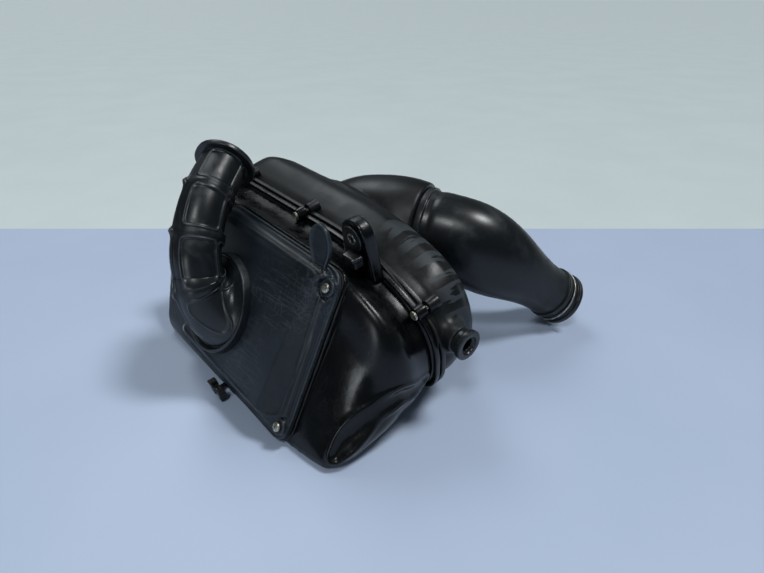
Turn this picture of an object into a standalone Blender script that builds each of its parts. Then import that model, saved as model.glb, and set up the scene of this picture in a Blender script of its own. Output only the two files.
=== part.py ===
"""Motorcycle airbox (air filter assembly): two moulded case halves, a filter cover with a ribbed
rubber inlet elbow, the filter element behind it, and a large rubber outlet boot.

The case is modelled upright in its own frame: X runs along the seam between the two halves, Y from
the seam to the rear, Z up. The whole assembly then lies the way it rests on a bench, tilted onto its
front bulge and the end of the outlet boot. Units are metres.
"""

from math import cos, pi, radians, sin, sqrt

import bmesh
import bpy
from mathutils import Matrix, Vector

# Lie of the case on the bench
NOSE_UP = radians(12.0)  # about X
DIP_RIGHT = radians(4.0)  # about Y

# Walls, gaps and seam
WALL = 0.0030
GAP = 0.0003
SEAM_GAP = 0.0013  # half the space between the two flanges, which the case seal fills
FLANGE_OUT = 0.007
FLANGE_THICK = 0.004
CORNER_STEPS = 5
ROUND, SMALL_ROUND = 32, 16  # sides of a round piece, and of a boss or a bore

# Case outline at the seam: left, right, bottom and top of the body, inside the flange
SEAM_LEFT, SEAM_RIGHT, SEAM_BOTTOM, SEAM_TOP = -0.398, 0.000, 0.025, 0.166

# Slope of the cover's seat on the front case, as a plane through SEAT_CENTRE
SEAT_TURN = radians(52.0)
SEAT_CENTRE = Vector((-0.173, -0.1018, 0.1116))
SEAT_NORMAL = Vector((0.0, -sin(SEAT_TURN), cos(SEAT_TURN)))
SEAT_UPHILL = Vector((0.0, cos(SEAT_TURN), sin(SEAT_TURN)))

# Filter cover: half width at its upper edge, extra half width at its lower one, reach up and down
COVER_HALF_X, COVER_FLARE, COVER_UP, COVER_DOWN, COVER_HEIGHT = 0.1085, 0.0075, 0.0880, 0.0985, 0.018
COVER_CORNER = 0.014
COVER_BASE = 0.0026  # the cover's rim stands this far off the seat, on its seal
COVER_SKIRT = 0.0105  # how far the lower wall leans back from rim to top
LUG_RADIUS = 0.0085
COVER_SCREWS = ((0.0995, 0.0690), (0.1055, -0.0810), (-0.1055, -0.0810), (-0.0995, 0.0690))
COVER_SCREW_SEAT = 0.0125  # height of a cover screw's head over the seat plane
INLET_X, INLET_Y, INLET_RADIUS = -0.039, -0.014, 0.041  # hole under the elbow, on the cover
TAB_X, TAB_WIDTH, TAB_HEIGHT, TAB_THICK = 0.078, 0.034, 0.034, 0.005

# Filter element and its tray
TRAY_HALF_X, TRAY_HALF_Y, TRAY_DEPTH = 0.0915, 0.070, 0.025
TRAY_LEDGE = 0.008
ELEMENT_RIM = 0.0085
PLEATS = 24

# Inlet elbow, measured from the middle of its foot: it leaves along ELBOW_WAY, its flared root is
# given by rings that tip over, and its tube follows a line of (x, uphill, height)
ELBOW_WAY = Vector((-0.187, 0.982, 0.0))
ELBOW_ROOT = (
    # along the way, height, tilt in degrees, radius outside, radius inside
    (0.0000, 0.0075, 0.0, 0.0500, 0.0),
    (-0.0015, 0.0098, 2.2, 0.0455, 0.0),
    (-0.0016, 0.0125, 5.6, 0.0416, 0.0),
    (-0.0004, 0.0159, 10.7, 0.0383, 0.0335),
    (0.0023, 0.0196, 17.1, 0.0353, 0.0314),
    (0.0061, 0.0236, 25.3, 0.0327, 0.0290),
    (0.0109, 0.0274, 34.9, 0.0304, 0.0268),
    (0.0173, 0.0312, 47.1, 0.0284, 0.0248),
    (0.0258, 0.0345, 61.6, 0.0272, 0.0237),
)
ELBOW_PATH = (
    (-0.016, 0.054, 0.0410),
    (-0.040, 0.097, 0.0330),
    (-0.076, 0.142, 0.004),
)
ELBOW_RADIUS, ELBOW_WALL = 0.0272, 0.0035
ELBOW_FOOT_RADIUS, ELBOW_FOOT_THICK = 0.0575, 0.0075
ELBOW_RIM_RADIUS, ELBOW_RIM_THICK = 0.0345, 0.0060

# Outlet neck on the rear case and rubber boot
NECK_PATH = (
    (-0.272, 0.080, 0.104),
    (-0.252, 0.093, 0.101),
    (-0.225, 0.109, 0.098),
    (-0.192, 0.1250, 0.0947),
    (-0.176, 0.1325, 0.0937),
    (-0.160, 0.1400, 0.0927),
)
NECK_RADII = (0.030, 0.050, 0.062, 0.0665, 0.0655, 0.0590)
BOOT_START_AIM = Vector((0.016, 0.0075, -0.0010)).normalized()
BOOT_START = Vector(NECK_PATH[-1]) + 0.0006 * BOOT_START_AIM
BOOT_END, BOOT_END_AIM = Vector((-0.020, 0.2606, -0.0261)), Vector((0.44, 0.62, -0.65))
BOOT_REACH_START, BOOT_REACH_END = 0.105, 0.075
BOOT_WALL, BOOT_RADIUS, BOOT_END_RADIUS = 0.0045, 0.0545, 0.0335

# Fasteners
HEAD_RADIUS, HEAD_HEIGHT = 0.0050, 0.0032
SHANK_RADIUS, BOSS_RADIUS, BOSS_FRONT, BOSS_REAR = 0.0024, 0.0068, 0.013, 0.016
SEAM_SCREWS = (
    # side of the seam outline, share of the way along it, distance outside it
    (0, 0.20, 0.0080),
    (0, 0.615, 0.0080),
    (1, 0.735, 0.0080),
    (3, 0.09, 0.0080),
    (3, 0.22, 0.0080),
    (3, 0.55, 0.0080),
    (3, 0.88, 0.0080),
    (4, 0.52, 0.0136),
)

# Mounting ear and grommets
EAR_X, EAR_Z, EAR_RADIUS = -0.0885, 0.1975, 0.0185
EAR_Y, EAR_THICK = -0.0128, 0.0143
EAR_HOLE, SLEEVE_RADIUS, SLEEVE_HOLE = 0.0115, 0.0063, 0.0041
PEG_Y, PEG_Z = 0.0195, 0.0960
PEG_RADIUS, PEG_HOLE, PEG_THICK = 0.0165, 0.0072, 0.012
PEG_SEAT_X = 0.0125

# Recess along the lower right edge of the front case
RECESS_CENTRE, RECESS_SIZE = Vector((0.010, -0.080, 0.055)), Vector((0.015, 0.062, 0.012))

# Small parts under the front edge
PLUG_CENTRE, PLUG_AIM = Vector((-0.1285, -0.1503, 0.0262)), Vector((0.0, -0.14, -0.99))
PLUG_RADIUS, PLUG_DEPTH = 0.0120, 0.0035
CLIP_CENTRE = Vector((-0.177, -0.1775, 0.0360))
CABLE_CLIP_CENTRE = Vector((-0.0800, -0.0305, 0.1820))

COLLECTION = "airbox"


# ---------------------------------------------------------------------------------------------
# Scene, materials and placing


def clear_scene():
    for obj in list(bpy.data.objects):
        bpy.data.objects.remove(obj, do_unlink=True)


def new_collection(name):
    collection = bpy.data.collections.new(name)
    bpy.context.scene.collection.children.link(collection)
    return collection


def new_material(name, color, roughness, metallic=0.0):
    material = bpy.data.materials.new(name)
    material.use_nodes = True
    shader = material.node_tree.nodes["Principled BSDF"]
    shader.inputs["Base Color"].default_value = (*color, 1.0)
    shader.inputs["Roughness"].default_value = roughness
    shader.inputs["Metallic"].default_value = metallic
    return material


clear_scene()
PARTS = new_collection(COLLECTION)
HELPERS = new_collection("cutters")
MATTE = new_material("matte_case_plastic", (0.030, 0.031, 0.031), 0.62)
GLOSS = new_material("gloss_case_plastic", (0.010, 0.011, 0.012), 0.22)
SATIN = new_material("cover_plastic", (0.026, 0.032, 0.038), 0.42)
RUBBER = new_material("rubber", (0.016, 0.018, 0.020), 0.48)
SEAL = new_material("seal_rubber", (0.020, 0.020, 0.021), 0.75)
ZINC = new_material("zinc_screw", (0.58, 0.55, 0.46), 0.30, 1.0)
STEEL = new_material("steel_sleeve", (0.62, 0.62, 0.60), 0.25, 1.0)
PAPER = new_material("filter_paper", (0.72, 0.62, 0.42), 0.90)
FRAME = new_material("element_frame", (0.10, 0.10, 0.11), 0.70)


def new_empty(name, matrix, parent=None):
    empty = bpy.data.objects.new(name, None)
    PARTS.objects.link(empty)
    empty.parent = parent
    empty.matrix_basis = matrix
    return empty


LIE = Matrix.Rotation(DIP_RIGHT, 4, "Y") @ Matrix.Rotation(NOSE_UP, 4, "X")
ROOT = new_empty("airbox_lie", LIE)
SEAT = new_empty("cover_seat", Matrix.Translation(SEAT_CENTRE) @ Matrix.Rotation(SEAT_TURN, 4, "X"), ROOT)


def place(obj, parent, matrix=None):
    obj.parent = parent
    obj.matrix_basis = matrix or Matrix.Identity(4)
    return obj


def new_object(name, mesh, material, parent=ROOT, matrix=None):
    obj = bpy.data.objects.new(name, mesh)
    PARTS.objects.link(obj)
    mesh.materials.append(material)
    mesh.shade_smooth()
    mesh.set_sharp_from_angle(angle=radians(35))
    return place(obj, parent, matrix)


def as_helper(obj):
    PARTS.objects.unlink(obj)
    HELPERS.objects.link(obj)
    obj.hide_render = True
    obj.display_type = "WIRE"
    return obj


def combine(target, tool, operation):
    modifier = target.modifiers.new(tool.name, "BOOLEAN")
    modifier.operation = operation
    modifier.solver = "EXACT"
    modifier.object = as_helper(tool) if not tool.hide_render else tool


def add(target, *tools):
    for tool in tools:
        combine(target, tool, "UNION")


def cut(target, *tools):
    for tool in tools:
        combine(target, tool, "DIFFERENCE")


# ---------------------------------------------------------------------------------------------
# Shapes


def mesh_of(bm, name):
    bmesh.ops.recalc_face_normals(bm, faces=bm.faces)
    mesh = bpy.data.meshes.new(name)
    bm.to_mesh(mesh)
    bm.free()
    return mesh


def loft(name, rings, material, parent=ROOT, matrix=None, closed=False):
    """A solid through rings of equal point counts: capped at both ends, or closed into a torus."""
    bm = bmesh.new()
    loops = [[bm.verts.new(point) for point in ring] for ring in rings]
    pairs = list(zip(loops, loops[1:] + loops[:1])) if closed else list(zip(loops, loops[1:]))
    for first, second in pairs:
        for i in range(len(first)):
            j = (i + 1) % len(first)
            bm.faces.new((first[i], first[j], second[j], second[i]))
    if not closed:
        bm.faces.new(loops[0])
        bm.faces.new(loops[-1])
    return new_object(name, mesh_of(bm, name), material, parent, matrix)


def box(name, low, high, material, parent=ROOT, matrix=None, bevel=0.0):
    bm = bmesh.new()
    low, high = Vector(low), Vector(high)
    size = Matrix.Diagonal((high - low).to_4d())
    bmesh.ops.create_cube(bm, size=1.0, matrix=Matrix.Translation((low + high) / 2) @ size)
    if bevel:
        bmesh.ops.bevel(bm, geom=bm.edges[:], offset=bevel, segments=2, profile=0.5, affect="EDGES")
    return new_object(name, mesh_of(bm, name), material, parent, matrix)


def cylinder(name, radius, low, high, material, parent=ROOT, matrix=None, sides=ROUND):
    """A cylinder along its own Z, from low to high."""
    bm = bmesh.new()
    bmesh.ops.create_cone(
        bm,
        cap_ends=True,
        segments=sides,
        radius1=radius,
        radius2=radius,
        depth=high - low,
        matrix=Matrix.Translation((0, 0, (low + high) / 2)),
    )
    return new_object(name, mesh_of(bm, name), material, parent, matrix)


def turned(name, profile, material, parent=ROOT, matrix=None):
    """A body turned about its own Z from a closed (radius, height) profile off the axis."""
    rings = []
    for k in range(ROUND):
        turn = 2 * pi * k / ROUND
        rings.append([Vector((r * cos(turn), r * sin(turn), h)) for r, h in profile])
    return loft(name, rings, material, parent, matrix, closed=True)


def aimed(origin, aim):
    """A matrix at origin whose Z runs along aim."""
    return Matrix.Translation(origin) @ Vector(aim).to_track_quat("Z", "Y").to_matrix().to_4x4()


def rounded_corners(corners, steps=CORNER_STEPS):
    """Points round a convex outline given as (x, z, radius), each corner as an arc."""
    points = []
    count = len(corners)
    for i, (x, z, radius) in enumerate(corners):
        here = Vector((x, z))
        before = (Vector(corners[i - 1][:2]) - here).normalized()
        after = (Vector(corners[(i + 1) % count][:2]) - here).normalized()
        half = before.angle(after) / 2
        middle = (before + after).normalized()
        centre = here + middle * (radius / sin(half))
        sweep = pi - 2 * half
        toward = -middle
        side = Vector((-toward.y, toward.x))
        if side.dot(before) > 0:
            side = -side
        for k in range(steps + 1):
            angle = -sweep / 2 + sweep * k / steps
            points.append(centre + radius * (toward * cos(angle) + side * sin(angle)))
    return points


def case_corners(left, right, bottom, top, cut_x, cut_z, sink=0.0, grow=0.0):
    """The case's five corners: a chamfered upper right one, a slanted left side, and a sunk left end."""
    left, right, bottom, top = left - grow, right + grow, bottom - grow, top + grow
    height = top - bottom
    return (
        (left, top),
        (right - cut_x, top),
        (right, top - cut_z),
        (right - 0.05 * height, bottom),
        (left + 0.42 * height, bottom - sink),
    )


def case_ring(y, left, right, bottom, top, cut_x, cut_z, radius, sink=0.0, grow=0.0):
    """One section of the case at depth y."""
    soft = max(radius + grow, 0.001)
    softness = (0.9, 1.0, 1.0, 0.7, 1.0)
    corners = case_corners(left, right, bottom, top, cut_x, cut_z, sink, grow)
    outline = rounded_corners([(x, z, soft * k) for (x, z), k in zip(corners, softness)])
    return [Vector((p.x, y, p.y)) for p in outline]


def curve_frames(points, first_aim=None):
    """Frames along a path, carried without twist: (point, across, other, distance from the start)."""
    points = [Vector(p) for p in points]
    frames = []
    across = None
    distance = 0.0
    for i, point in enumerate(points):
        aim = (points[min(i + 1, len(points) - 1)] - points[max(i - 1, 0)]).normalized()
        if i == 0 and first_aim is not None:
            aim = Vector(first_aim).normalized()
        if across is None:
            across = aim.orthogonal().normalized()
        across = (across - aim * across.dot(aim)).normalized()
        distance += (point - points[i - 1]).length if i else 0.0
        frames.append((point, across, aim.cross(across), distance))
    return frames


def frame_at(frames, distance):
    """The frame at a distance along the path, between two of the given frames."""
    for first, second in zip(frames, frames[1:]):
        if distance <= second[3] or second is frames[-1]:
            t = (distance - first[3]) / (second[3] - first[3])
            return [first[k].lerp(second[k], t) for k in range(3)]
    return frames[-1][:3]


def bent_tube(name, points, profile, material, parent=ROOT, first_aim=None):
    """A tube turned along a path from a closed (distance, radius) profile: out along the outside,
    back along the inside."""
    frames = curve_frames(points, first_aim)
    rings = []
    for distance, radius in profile:
        point, across, other = frame_at(frames, distance)
        angles = [2 * pi * k / ROUND for k in range(ROUND)]
        rings.append([point + radius * (across * cos(a) + other * sin(a)) for a in angles])
    return loft(name, rings, material, parent, closed=True)


def smooth_points(points, per_span):
    """Catmull-Rom points between hand-chosen ones."""
    points = [Vector(p) for p in points]
    padded = [2 * points[0] - points[1]] + points + [2 * points[-1] - points[-2]]
    result = []
    for i in range(1, len(padded) - 2):
        a, b, c, d = padded[i - 1 : i + 3]
        for k in range(per_span):
            t = k / per_span
            bend = (2 * a - 5 * b + 4 * c - d) * t**2 + (3 * b - a - 3 * c + d) * t**3
            result.append(0.5 * (2 * b + (c - a) * t + bend))
    return result + [points[-1]]


def length_of(points):
    return sum((Vector(b) - Vector(a)).length for a, b in zip(points, points[1:]))


def eased(start, end, share):
    """From start to end as share goes from 0 to 1, level at both ends."""
    return start + (end - start) * (3 * share**2 - 2 * share**3)


# ---------------------------------------------------------------------------------------------
# Case halves


FRONT_SECTIONS = (
    # y, left, right, bottom, top, chamfer across, chamfer down, corner radius, sink of the left end
    (-0.0022, SEAM_LEFT, SEAM_RIGHT, SEAM_BOTTOM, SEAM_TOP, 0.088, 0.052, 0.026),
    (-0.020, -0.402, 0.004, 0.024, 0.1672, 0.085, 0.055, 0.028),
    (-0.048, -0.410, 0.013, 0.024, 0.1800, 0.070, 0.058, 0.028),
    (-0.080, -0.412, 0.014, 0.025, 0.1390, 0.068, 0.056, 0.024),
    (-0.115, -0.402, 0.010, 0.027, 0.0942, 0.062, 0.034, 0.016, 0.007),
    (-0.148, -0.368, -0.006, 0.0308, 0.0520, 0.045, 0.010, 0.0045, 0.0195),
    (-0.1665, -0.347, -0.110, 0.0276, 0.0282, 0.030, 0.0002, 0.0001, 0.0175),
)
REAR_SECTIONS = (
    (0.0022, SEAM_LEFT, SEAM_RIGHT, SEAM_BOTTOM, SEAM_TOP, 0.088, 0.052, 0.026),
    (0.020, -0.404, 0.008, 0.023, 0.1735, 0.088, 0.054, 0.032),
    (0.046, -0.403, 0.006, 0.026, 0.1790, 0.086, 0.056, 0.036),
    (0.068, -0.390, -0.009, 0.037, 0.1700, 0.082, 0.052, 0.036),
    (0.081, -0.360, -0.041, 0.058, 0.1480, 0.066, 0.036, 0.028),
    (0.0862, -0.318, -0.090, 0.084, 0.1230, 0.030, 0.012, 0.010),
)


def seam_ring(y, grow):
    _, left, right, bottom, top, cut_x, cut_z, radius = FRONT_SECTIONS[0]
    return case_ring(y, left, right, bottom, top, cut_x, cut_z, radius, grow=grow)


def flange(name, low, high, material):
    return loft(name, [seam_ring(low, FLANGE_OUT), seam_ring(high, FLANGE_OUT)], material)


def seam_screw_places():
    """Points round the seam, outside the body's outline, as (x, z)."""
    _, left, right, bottom, top, cut_x, cut_z, _ = FRONT_SECTIONS[0]
    places = []
    for side, share, out in SEAM_SCREWS:
        corners = [Vector(c) for c in case_corners(left, right, bottom, top, cut_x, cut_z, grow=out)]
        places.append(corners[side].lerp(corners[(side + 1) % len(corners)], share))
    return places


def seam_matrix(x, z, y=0.0):
    """A frame on the seam at (x, z) whose own Z points to the front, as a seam screw's head does."""
    return Matrix.Translation((x, y, z)) @ Matrix.Rotation(radians(90), 4, "X")


def case_body(name, sections, material):
    return loft(name, [case_ring(*section) for section in sections], material)


def case_hollow(name, sections, past_seam, shift):
    """The space inside: the same sections, one wall smaller, opened past the seam and ended early."""
    inner = [list(section) for section in sections[:-1]]
    inner[0][0] = past_seam
    inner[-1][0] += shift
    return loft(name, [case_ring(*section, grow=-WALL) for section in inner], MATTE)


def add_seam_bosses(body, name, low, high, end, material):
    """The bosses of the seam screws on one half, each with its bore."""
    places = [seam_matrix(x, z) for x, z in seam_screw_places()]
    for i, matrix in enumerate(places, 1):
        boss = cylinder(f"{name}_boss_{i}", BOSS_RADIUS, low, high, material, matrix=matrix, sides=SMALL_ROUND)
        add(body, boss)
    for i, matrix in enumerate(places, 1):
        radius = SHANK_RADIUS + GAP
        bore = cylinder(f"{name}_bore_{i}", radius, end, 0.03, material, matrix=matrix, sides=SMALL_ROUND)
        cut(body, bore)


def front_case():
    """A solid cut by one hollow, which leaves the walls, the tray, the recess and the screw posts."""
    body = case_body("front_case", FRONT_SECTIONS, GLOSS)
    add(body, flange("front_flange", -SEAM_GAP - FLANGE_THICK, -SEAM_GAP, GLOSS))
    add_seam_bosses(body, "front", SEAM_GAP + 0.001, BOSS_FRONT, -0.01, GLOSS)
    add(body, ear(), seat_pad())
    hollow = case_hollow("front_hollow", FRONT_SECTIONS, 0.010, 0.004)
    cut(hollow, recess("recess_wall", WALL), tray_wall())
    cut(hollow, *cover_posts())
    cut(body, hollow, recess("recess_pocket", 0.0))
    plug_seat = aimed(PLUG_CENTRE, PLUG_AIM)
    cut(body, cylinder("plug_seat", PLUG_RADIUS + GAP, -PLUG_DEPTH - GAP, 0.02, GLOSS, matrix=plug_seat))
    cut_tray(body)
    for i, (x, y) in enumerate(COVER_SCREWS, 1):
        bore = cylinder(f"post_bore_{i}", SHANK_RADIUS + GAP, -0.0175, 0.01, GLOSS, SEAT, on_lug(x, y), SMALL_ROUND)
        cut(body, bore)
    return body


def recess(name, grow):
    """The blind pocket along the lower right edge, or the wall round it when grown."""
    bm = bmesh.new()
    bmesh.ops.create_uvsphere(bm, u_segments=20, v_segments=12, radius=1.0)
    size = RECESS_SIZE + Vector((grow, grow, grow))
    bmesh.ops.transform(bm, matrix=Matrix.Diagonal((*size, 1.0)), verts=bm.verts)
    return new_object(name, mesh_of(bm, name), GLOSS, matrix=Matrix.Translation(RECESS_CENTRE))


def seat_pad():
    """A flat pad under the cover's rim, whose top is the seat plane."""
    return loft("seat_pad", [cover_ring(-0.0012, -0.006), cover_ring(-0.0012, 0.0)], GLOSS, SEAT)


def tray_wall():
    half_x, half_y = TRAY_HALF_X + WALL, TRAY_HALF_Y + WALL
    return box("tray_wall", (-half_x, -half_y, -TRAY_DEPTH - WALL), (half_x, half_y, 0.02), GLOSS, SEAT)


def cut_tray(body):
    """The element's space, and the window in the tray's floor inside a ledge."""
    half_x, half_y = TRAY_HALF_X, TRAY_HALF_Y
    in_x, in_y = half_x - TRAY_LEDGE, half_y - TRAY_LEDGE
    cut(body, box("tray_space", (-half_x, -half_y, -TRAY_DEPTH), (half_x, half_y, 0.02), GLOSS, SEAT))
    cut(body, box("tray_window", (-in_x, -in_y, -TRAY_DEPTH - 0.02), (in_x, in_y, -0.01), GLOSS, SEAT))


def cover_posts():
    """Screw posts under the cover's seat, at its corners."""
    posts = []
    for i, (x, y) in enumerate(COVER_SCREWS, 1):
        post = cylinder(f"cover_post_{i}", LUG_RADIUS - 0.001, -0.020, 0.01, GLOSS, SEAT, on_lug(x, y), SMALL_ROUND)
        posts.append(post)
    return posts


def ear():
    """The rounded ear that stands on the seam: a leaf-shaped plate with a hole for its grommet."""
    half = EAR_THICK / 2
    corners = (
        (-EAR_RADIUS, EAR_RADIUS, EAR_RADIUS * 0.98),
        (EAR_RADIUS, EAR_RADIUS, EAR_RADIUS * 0.98),
        (EAR_RADIUS + 0.003, -0.045, 0.002),
        (-EAR_RADIUS - 0.003, -0.045, 0.002),
    )
    outline = rounded_corners(corners, 9)
    rings = [[Vector((p.x, p.y, z)) for p in outline] for z in (-half, half)]
    matrix = seam_matrix(EAR_X, EAR_Z, EAR_Y)
    plate = loft("ear_plate", rings, GLOSS, matrix=matrix)
    cut(plate, cylinder("ear_hole", EAR_HOLE, -0.02, 0.02, GLOSS, matrix=matrix))
    return plate


def neck(name, grow, material, opened=0.0):
    """The bulb-shaped outlet neck, as a solid, or as its own hollow when grown by minus one wall."""
    points = smooth_points(NECK_PATH, 2)
    radii = [NECK_RADII[0]]
    for low, high in zip(NECK_RADII, NECK_RADII[1:]):
        radii += [(low + high) / 2, high]
    if opened:
        points.append(points[-1] + (points[-1] - points[-2]).normalized() * opened)
        radii.append(radii[-1])
    rings = []
    for (point, across, other, _), radius in zip(curve_frames(points), radii):
        angles = [2 * pi * k / ROUND for k in range(ROUND)]
        rings.append([point + (radius + grow) * (across * cos(a) + other * sin(a)) for a in angles])
    return loft(name, rings, material)


def rear_case():
    body = case_body("rear_case", REAR_SECTIONS, MATTE)
    add(body, flange("rear_flange", SEAM_GAP, SEAM_GAP + FLANGE_THICK, MATTE))
    add_seam_bosses(body, "rear", -BOSS_REAR, -SEAM_GAP - 0.001, -0.013, MATTE)
    add(body, neck("neck_wall", 0.0, MATTE))
    peg = aimed((0.0, PEG_Y, PEG_Z), (1, 0, 0))
    add(body, cylinder("peg_boss", PEG_RADIUS - 0.002, -0.02, PEG_SEAT_X, MATTE, matrix=peg))
    cut(body, case_hollow("rear_hollow", REAR_SECTIONS, -0.010, -0.003))
    cut(body, neck("neck_hollow", -WALL, MATTE, opened=0.02))
    return body


def case_seal():
    half = SEAM_GAP - GAP
    rings = [seam_ring(-half, 0.0025), seam_ring(half, 0.0025), seam_ring(half, -0.0025), seam_ring(-half, -0.0025)]
    return loft("case_seal", rings, SEAL, closed=True)


# ---------------------------------------------------------------------------------------------
# Cover, elbow and element, in the frame of the cover's seat


def cover_ring(shrink, height):
    """The cover's outline at a height over the seat: its lower wall leans back as it rises."""
    lean = COVER_SKIRT * min(max((height - COVER_BASE) / (COVER_HEIGHT - COVER_BASE), 0.0), 1.0)
    half_x, up, down = COVER_HALF_X - shrink, COVER_UP - shrink, COVER_DOWN - shrink - lean
    corner = COVER_CORNER - 0.5 * shrink
    low_x = half_x + COVER_FLARE
    corners = ((-half_x, up, corner), (half_x, up, corner), (low_x, -down, corner), (-low_x, -down, corner))
    return [Vector((p.x, p.y, height)) for p in rounded_corners(corners, 4)]


def on_lug(x, y):
    return Matrix.Translation((x, y, 0))


def filter_cover():
    top, rim = COVER_HEIGHT, COVER_BASE + 0.003
    sections = (
        # shrink, height
        (0.0000, COVER_BASE),
        (0.0000, rim),
        (0.0015, rim + 0.0005),
        (0.0035, top - 0.003),
        (0.0065, top),
        (0.0200, top + 0.0002),
        (0.0240, top + 0.003),
    )
    body = loft("filter_cover", [cover_ring(*section) for section in sections], SATIN, SEAT)
    inner = ((0.0090, -0.002), (0.0090, top - 0.004), (0.0110, top - WALL))
    cut(body, loft("cover_hollow", [cover_ring(*section) for section in inner], SATIN, SEAT))
    for i, (x, y) in enumerate(COVER_SCREWS, 1):
        add(body, cylinder(f"cover_lug_{i}", LUG_RADIUS, COVER_BASE, top - 0.001, SATIN, SEAT, on_lug(x, y), 20))
    inlet = on_lug(INLET_X, INLET_Y)
    add(body, cylinder("inlet_spigot", INLET_RADIUS + WALL, top - 0.001, top + 0.009, SATIN, SEAT, inlet))
    add(body, cover_tab())
    cut(body, cylinder("inlet_hole", INLET_RADIUS, 0.0, 0.05, SATIN, SEAT, inlet))
    for i, (x, y) in enumerate(COVER_SCREWS, 1):
        height = COVER_SCREW_SEAT
        pocket = cylinder(f"lug_pocket_{i}", HEAD_RADIUS + 0.0015, height, 0.04, SATIN, SEAT, on_lug(x, y))
        cut(body, pocket)
        bore = cylinder(f"lug_bore_{i}", SHANK_RADIUS + GAP, -0.01, 0.03, SATIN, SEAT, on_lug(x, y))
        cut(body, bore)
    return body


def cover_tab():
    """The finger tab on the cover's upper edge: a leaf that leans uphill."""
    half = TAB_WIDTH / 2
    corners = (
        (-half, 0.0, 0.0005),
        (half, 0.0, 0.0005),
        (0.45 * half, TAB_HEIGHT, 0.0072),
        (-0.45 * half, TAB_HEIGHT, 0.0072),
    )
    outline = rounded_corners(corners)
    rings = [[Vector((p.x, p.y, z)) for p in outline] for z in (0.0, TAB_THICK)]
    matrix = Matrix.Translation((TAB_X, COVER_UP - 0.006, COVER_BASE + 0.007)) @ Matrix.Rotation(radians(22), 4, "X")
    return loft("cover_tab", rings, SATIN, SEAT, matrix)


def cover_seal():
    low, high = GAP, COVER_BASE - GAP
    rings = [cover_ring(0.0015, low), cover_ring(0.0015, high), cover_ring(0.0058, high), cover_ring(0.0058, low)]
    return loft("cover_seal", rings, SEAL, SEAT, closed=True)


def elbow_ring(centre, aim, radius):
    """A ring round a centre, with its points counted from the same side at any aim."""
    side = (Vector((1, 0, 0)) - aim * aim.x).normalized()
    other = aim.cross(side)
    angles = [2 * pi * k / ROUND for k in range(ROUND)]
    return [centre + radius * (side * cos(a) + other * sin(a)) for a in angles]


def inlet_elbow():
    """Foot ring, flared root, tube and mouth rim as one rubber moulding."""
    foot = Vector((INLET_X, INLET_Y, COVER_HEIGHT + 0.003 + GAP))
    up = Vector((0, 0, 1))
    wall, radius, thick = ELBOW_WALL, ELBOW_RADIUS, ELBOW_FOOT_THICK
    spigot = INLET_RADIUS + WALL + GAP
    foot_profile = ((0.0, spigot), (0.0, ELBOW_FOOT_RADIUS), (thick, ELBOW_FOOT_RADIUS))
    rings = [elbow_ring(foot + up * height, up, reach) for height, reach in foot_profile]
    inner = [elbow_ring(foot + up * 0.0060, up, spigot), elbow_ring(foot + up * 0.0064, up, 0.0385)]
    for uphill, height, tilt, outside, inside in ELBOW_ROOT:
        centre = foot + ELBOW_WAY * uphill + up * height
        aim = ELBOW_WAY * sin(radians(tilt)) + up * cos(radians(tilt))
        rings.append(elbow_ring(centre, aim, outside))
        if inside:
            inner.append(elbow_ring(centre, aim, inside))
    start = ELBOW_WAY * ELBOW_ROOT[-1][0] + up * ELBOW_ROOT[-1][1]
    points = smooth_points([foot + start] + [foot + Vector(p) for p in ELBOW_PATH], 4)
    frames = curve_frames(points, aim)
    end = length_of(points)
    body_end = end - ELBOW_RIM_THICK
    outside = [(body_end * k / 9, radius) for k in range(1, 10)]
    outside += [(body_end, ELBOW_RIM_RADIUS), (end, ELBOW_RIM_RADIUS)]
    inside = [(end * k / 8, radius - wall) for k in range(8, 0, -1)]
    for distance, reach in outside + inside:
        centre, across, other = frame_at(frames, distance)
        rings.append(elbow_ring(centre, across.cross(other).normalized(), reach))
    rings += inner[::-1]
    return loft("inlet_elbow", rings, RUBBER, SEAT, closed=True)


def filter_element():
    half_x, half_y = TRAY_HALF_X - 0.0004, TRAY_HALF_Y - 0.0004
    low, high = -TRAY_DEPTH + GAP, -0.003
    frame = box("filter_frame", (-half_x, -half_y, low), (half_x, half_y, high), FRAME, SEAT)
    in_x, in_y = half_x - ELEMENT_RIM, half_y - ELEMENT_RIM
    cut(frame, box("frame_window", (-in_x, -in_y, -0.05), (in_x, in_y, 0.05), FRAME, SEAT))
    filter_media(in_x - 0.0004, in_y - 0.0004, low + 0.0022, high - 0.002)
    filter_screen(in_x - 0.0004, in_y - 0.0004, low + 0.0005, 0.0011)


def filter_media(half_x, half_y, low, high):
    """Pleated paper: one folded sheet, extruded along the pleats."""
    sheet = 0.0012
    pitch = 2 * half_x / PLEATS
    tops, bottoms = [], []
    for i in range(2 * PLEATS + 1):
        x = -half_x + i * pitch / 2
        fold = high if i % 2 else low + sheet
        tops.append((x, fold))
        bottoms.append((x, fold - sheet))
    outline = tops + bottoms[::-1]
    rings = [[Vector((x, y, z)) for x, z in outline] for y in (-half_y, half_y)]
    return loft("filter_media", rings, PAPER, SEAT)


def filter_screen(half_x, half_y, low, thick):
    """A flat grille under the pleats: one plate with rows of windows."""
    columns, rows, bar = 8, 6, 0.0024
    curve = bpy.data.curves.new("filter_screen", "CURVE")
    curve.dimensions = "2D"
    curve.fill_mode = "BOTH"
    curve.extrude = thick / 2
    add_rectangle(curve, -half_x, -half_y, half_x, half_y)
    step_x, step_y = 2 * half_x / columns, 2 * half_y / rows
    for i in range(columns):
        for j in range(rows):
            x, y = -half_x + i * step_x, -half_y + j * step_y
            add_rectangle(curve, x + bar, y + bar, x + step_x - bar, y + step_y - bar)
    screen = bpy.data.objects.new("filter_screen", curve)
    curve.materials.append(STEEL)
    PARTS.objects.link(screen)
    return place(screen, SEAT, Matrix.Translation((0, 0, low + thick / 2)))


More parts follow.
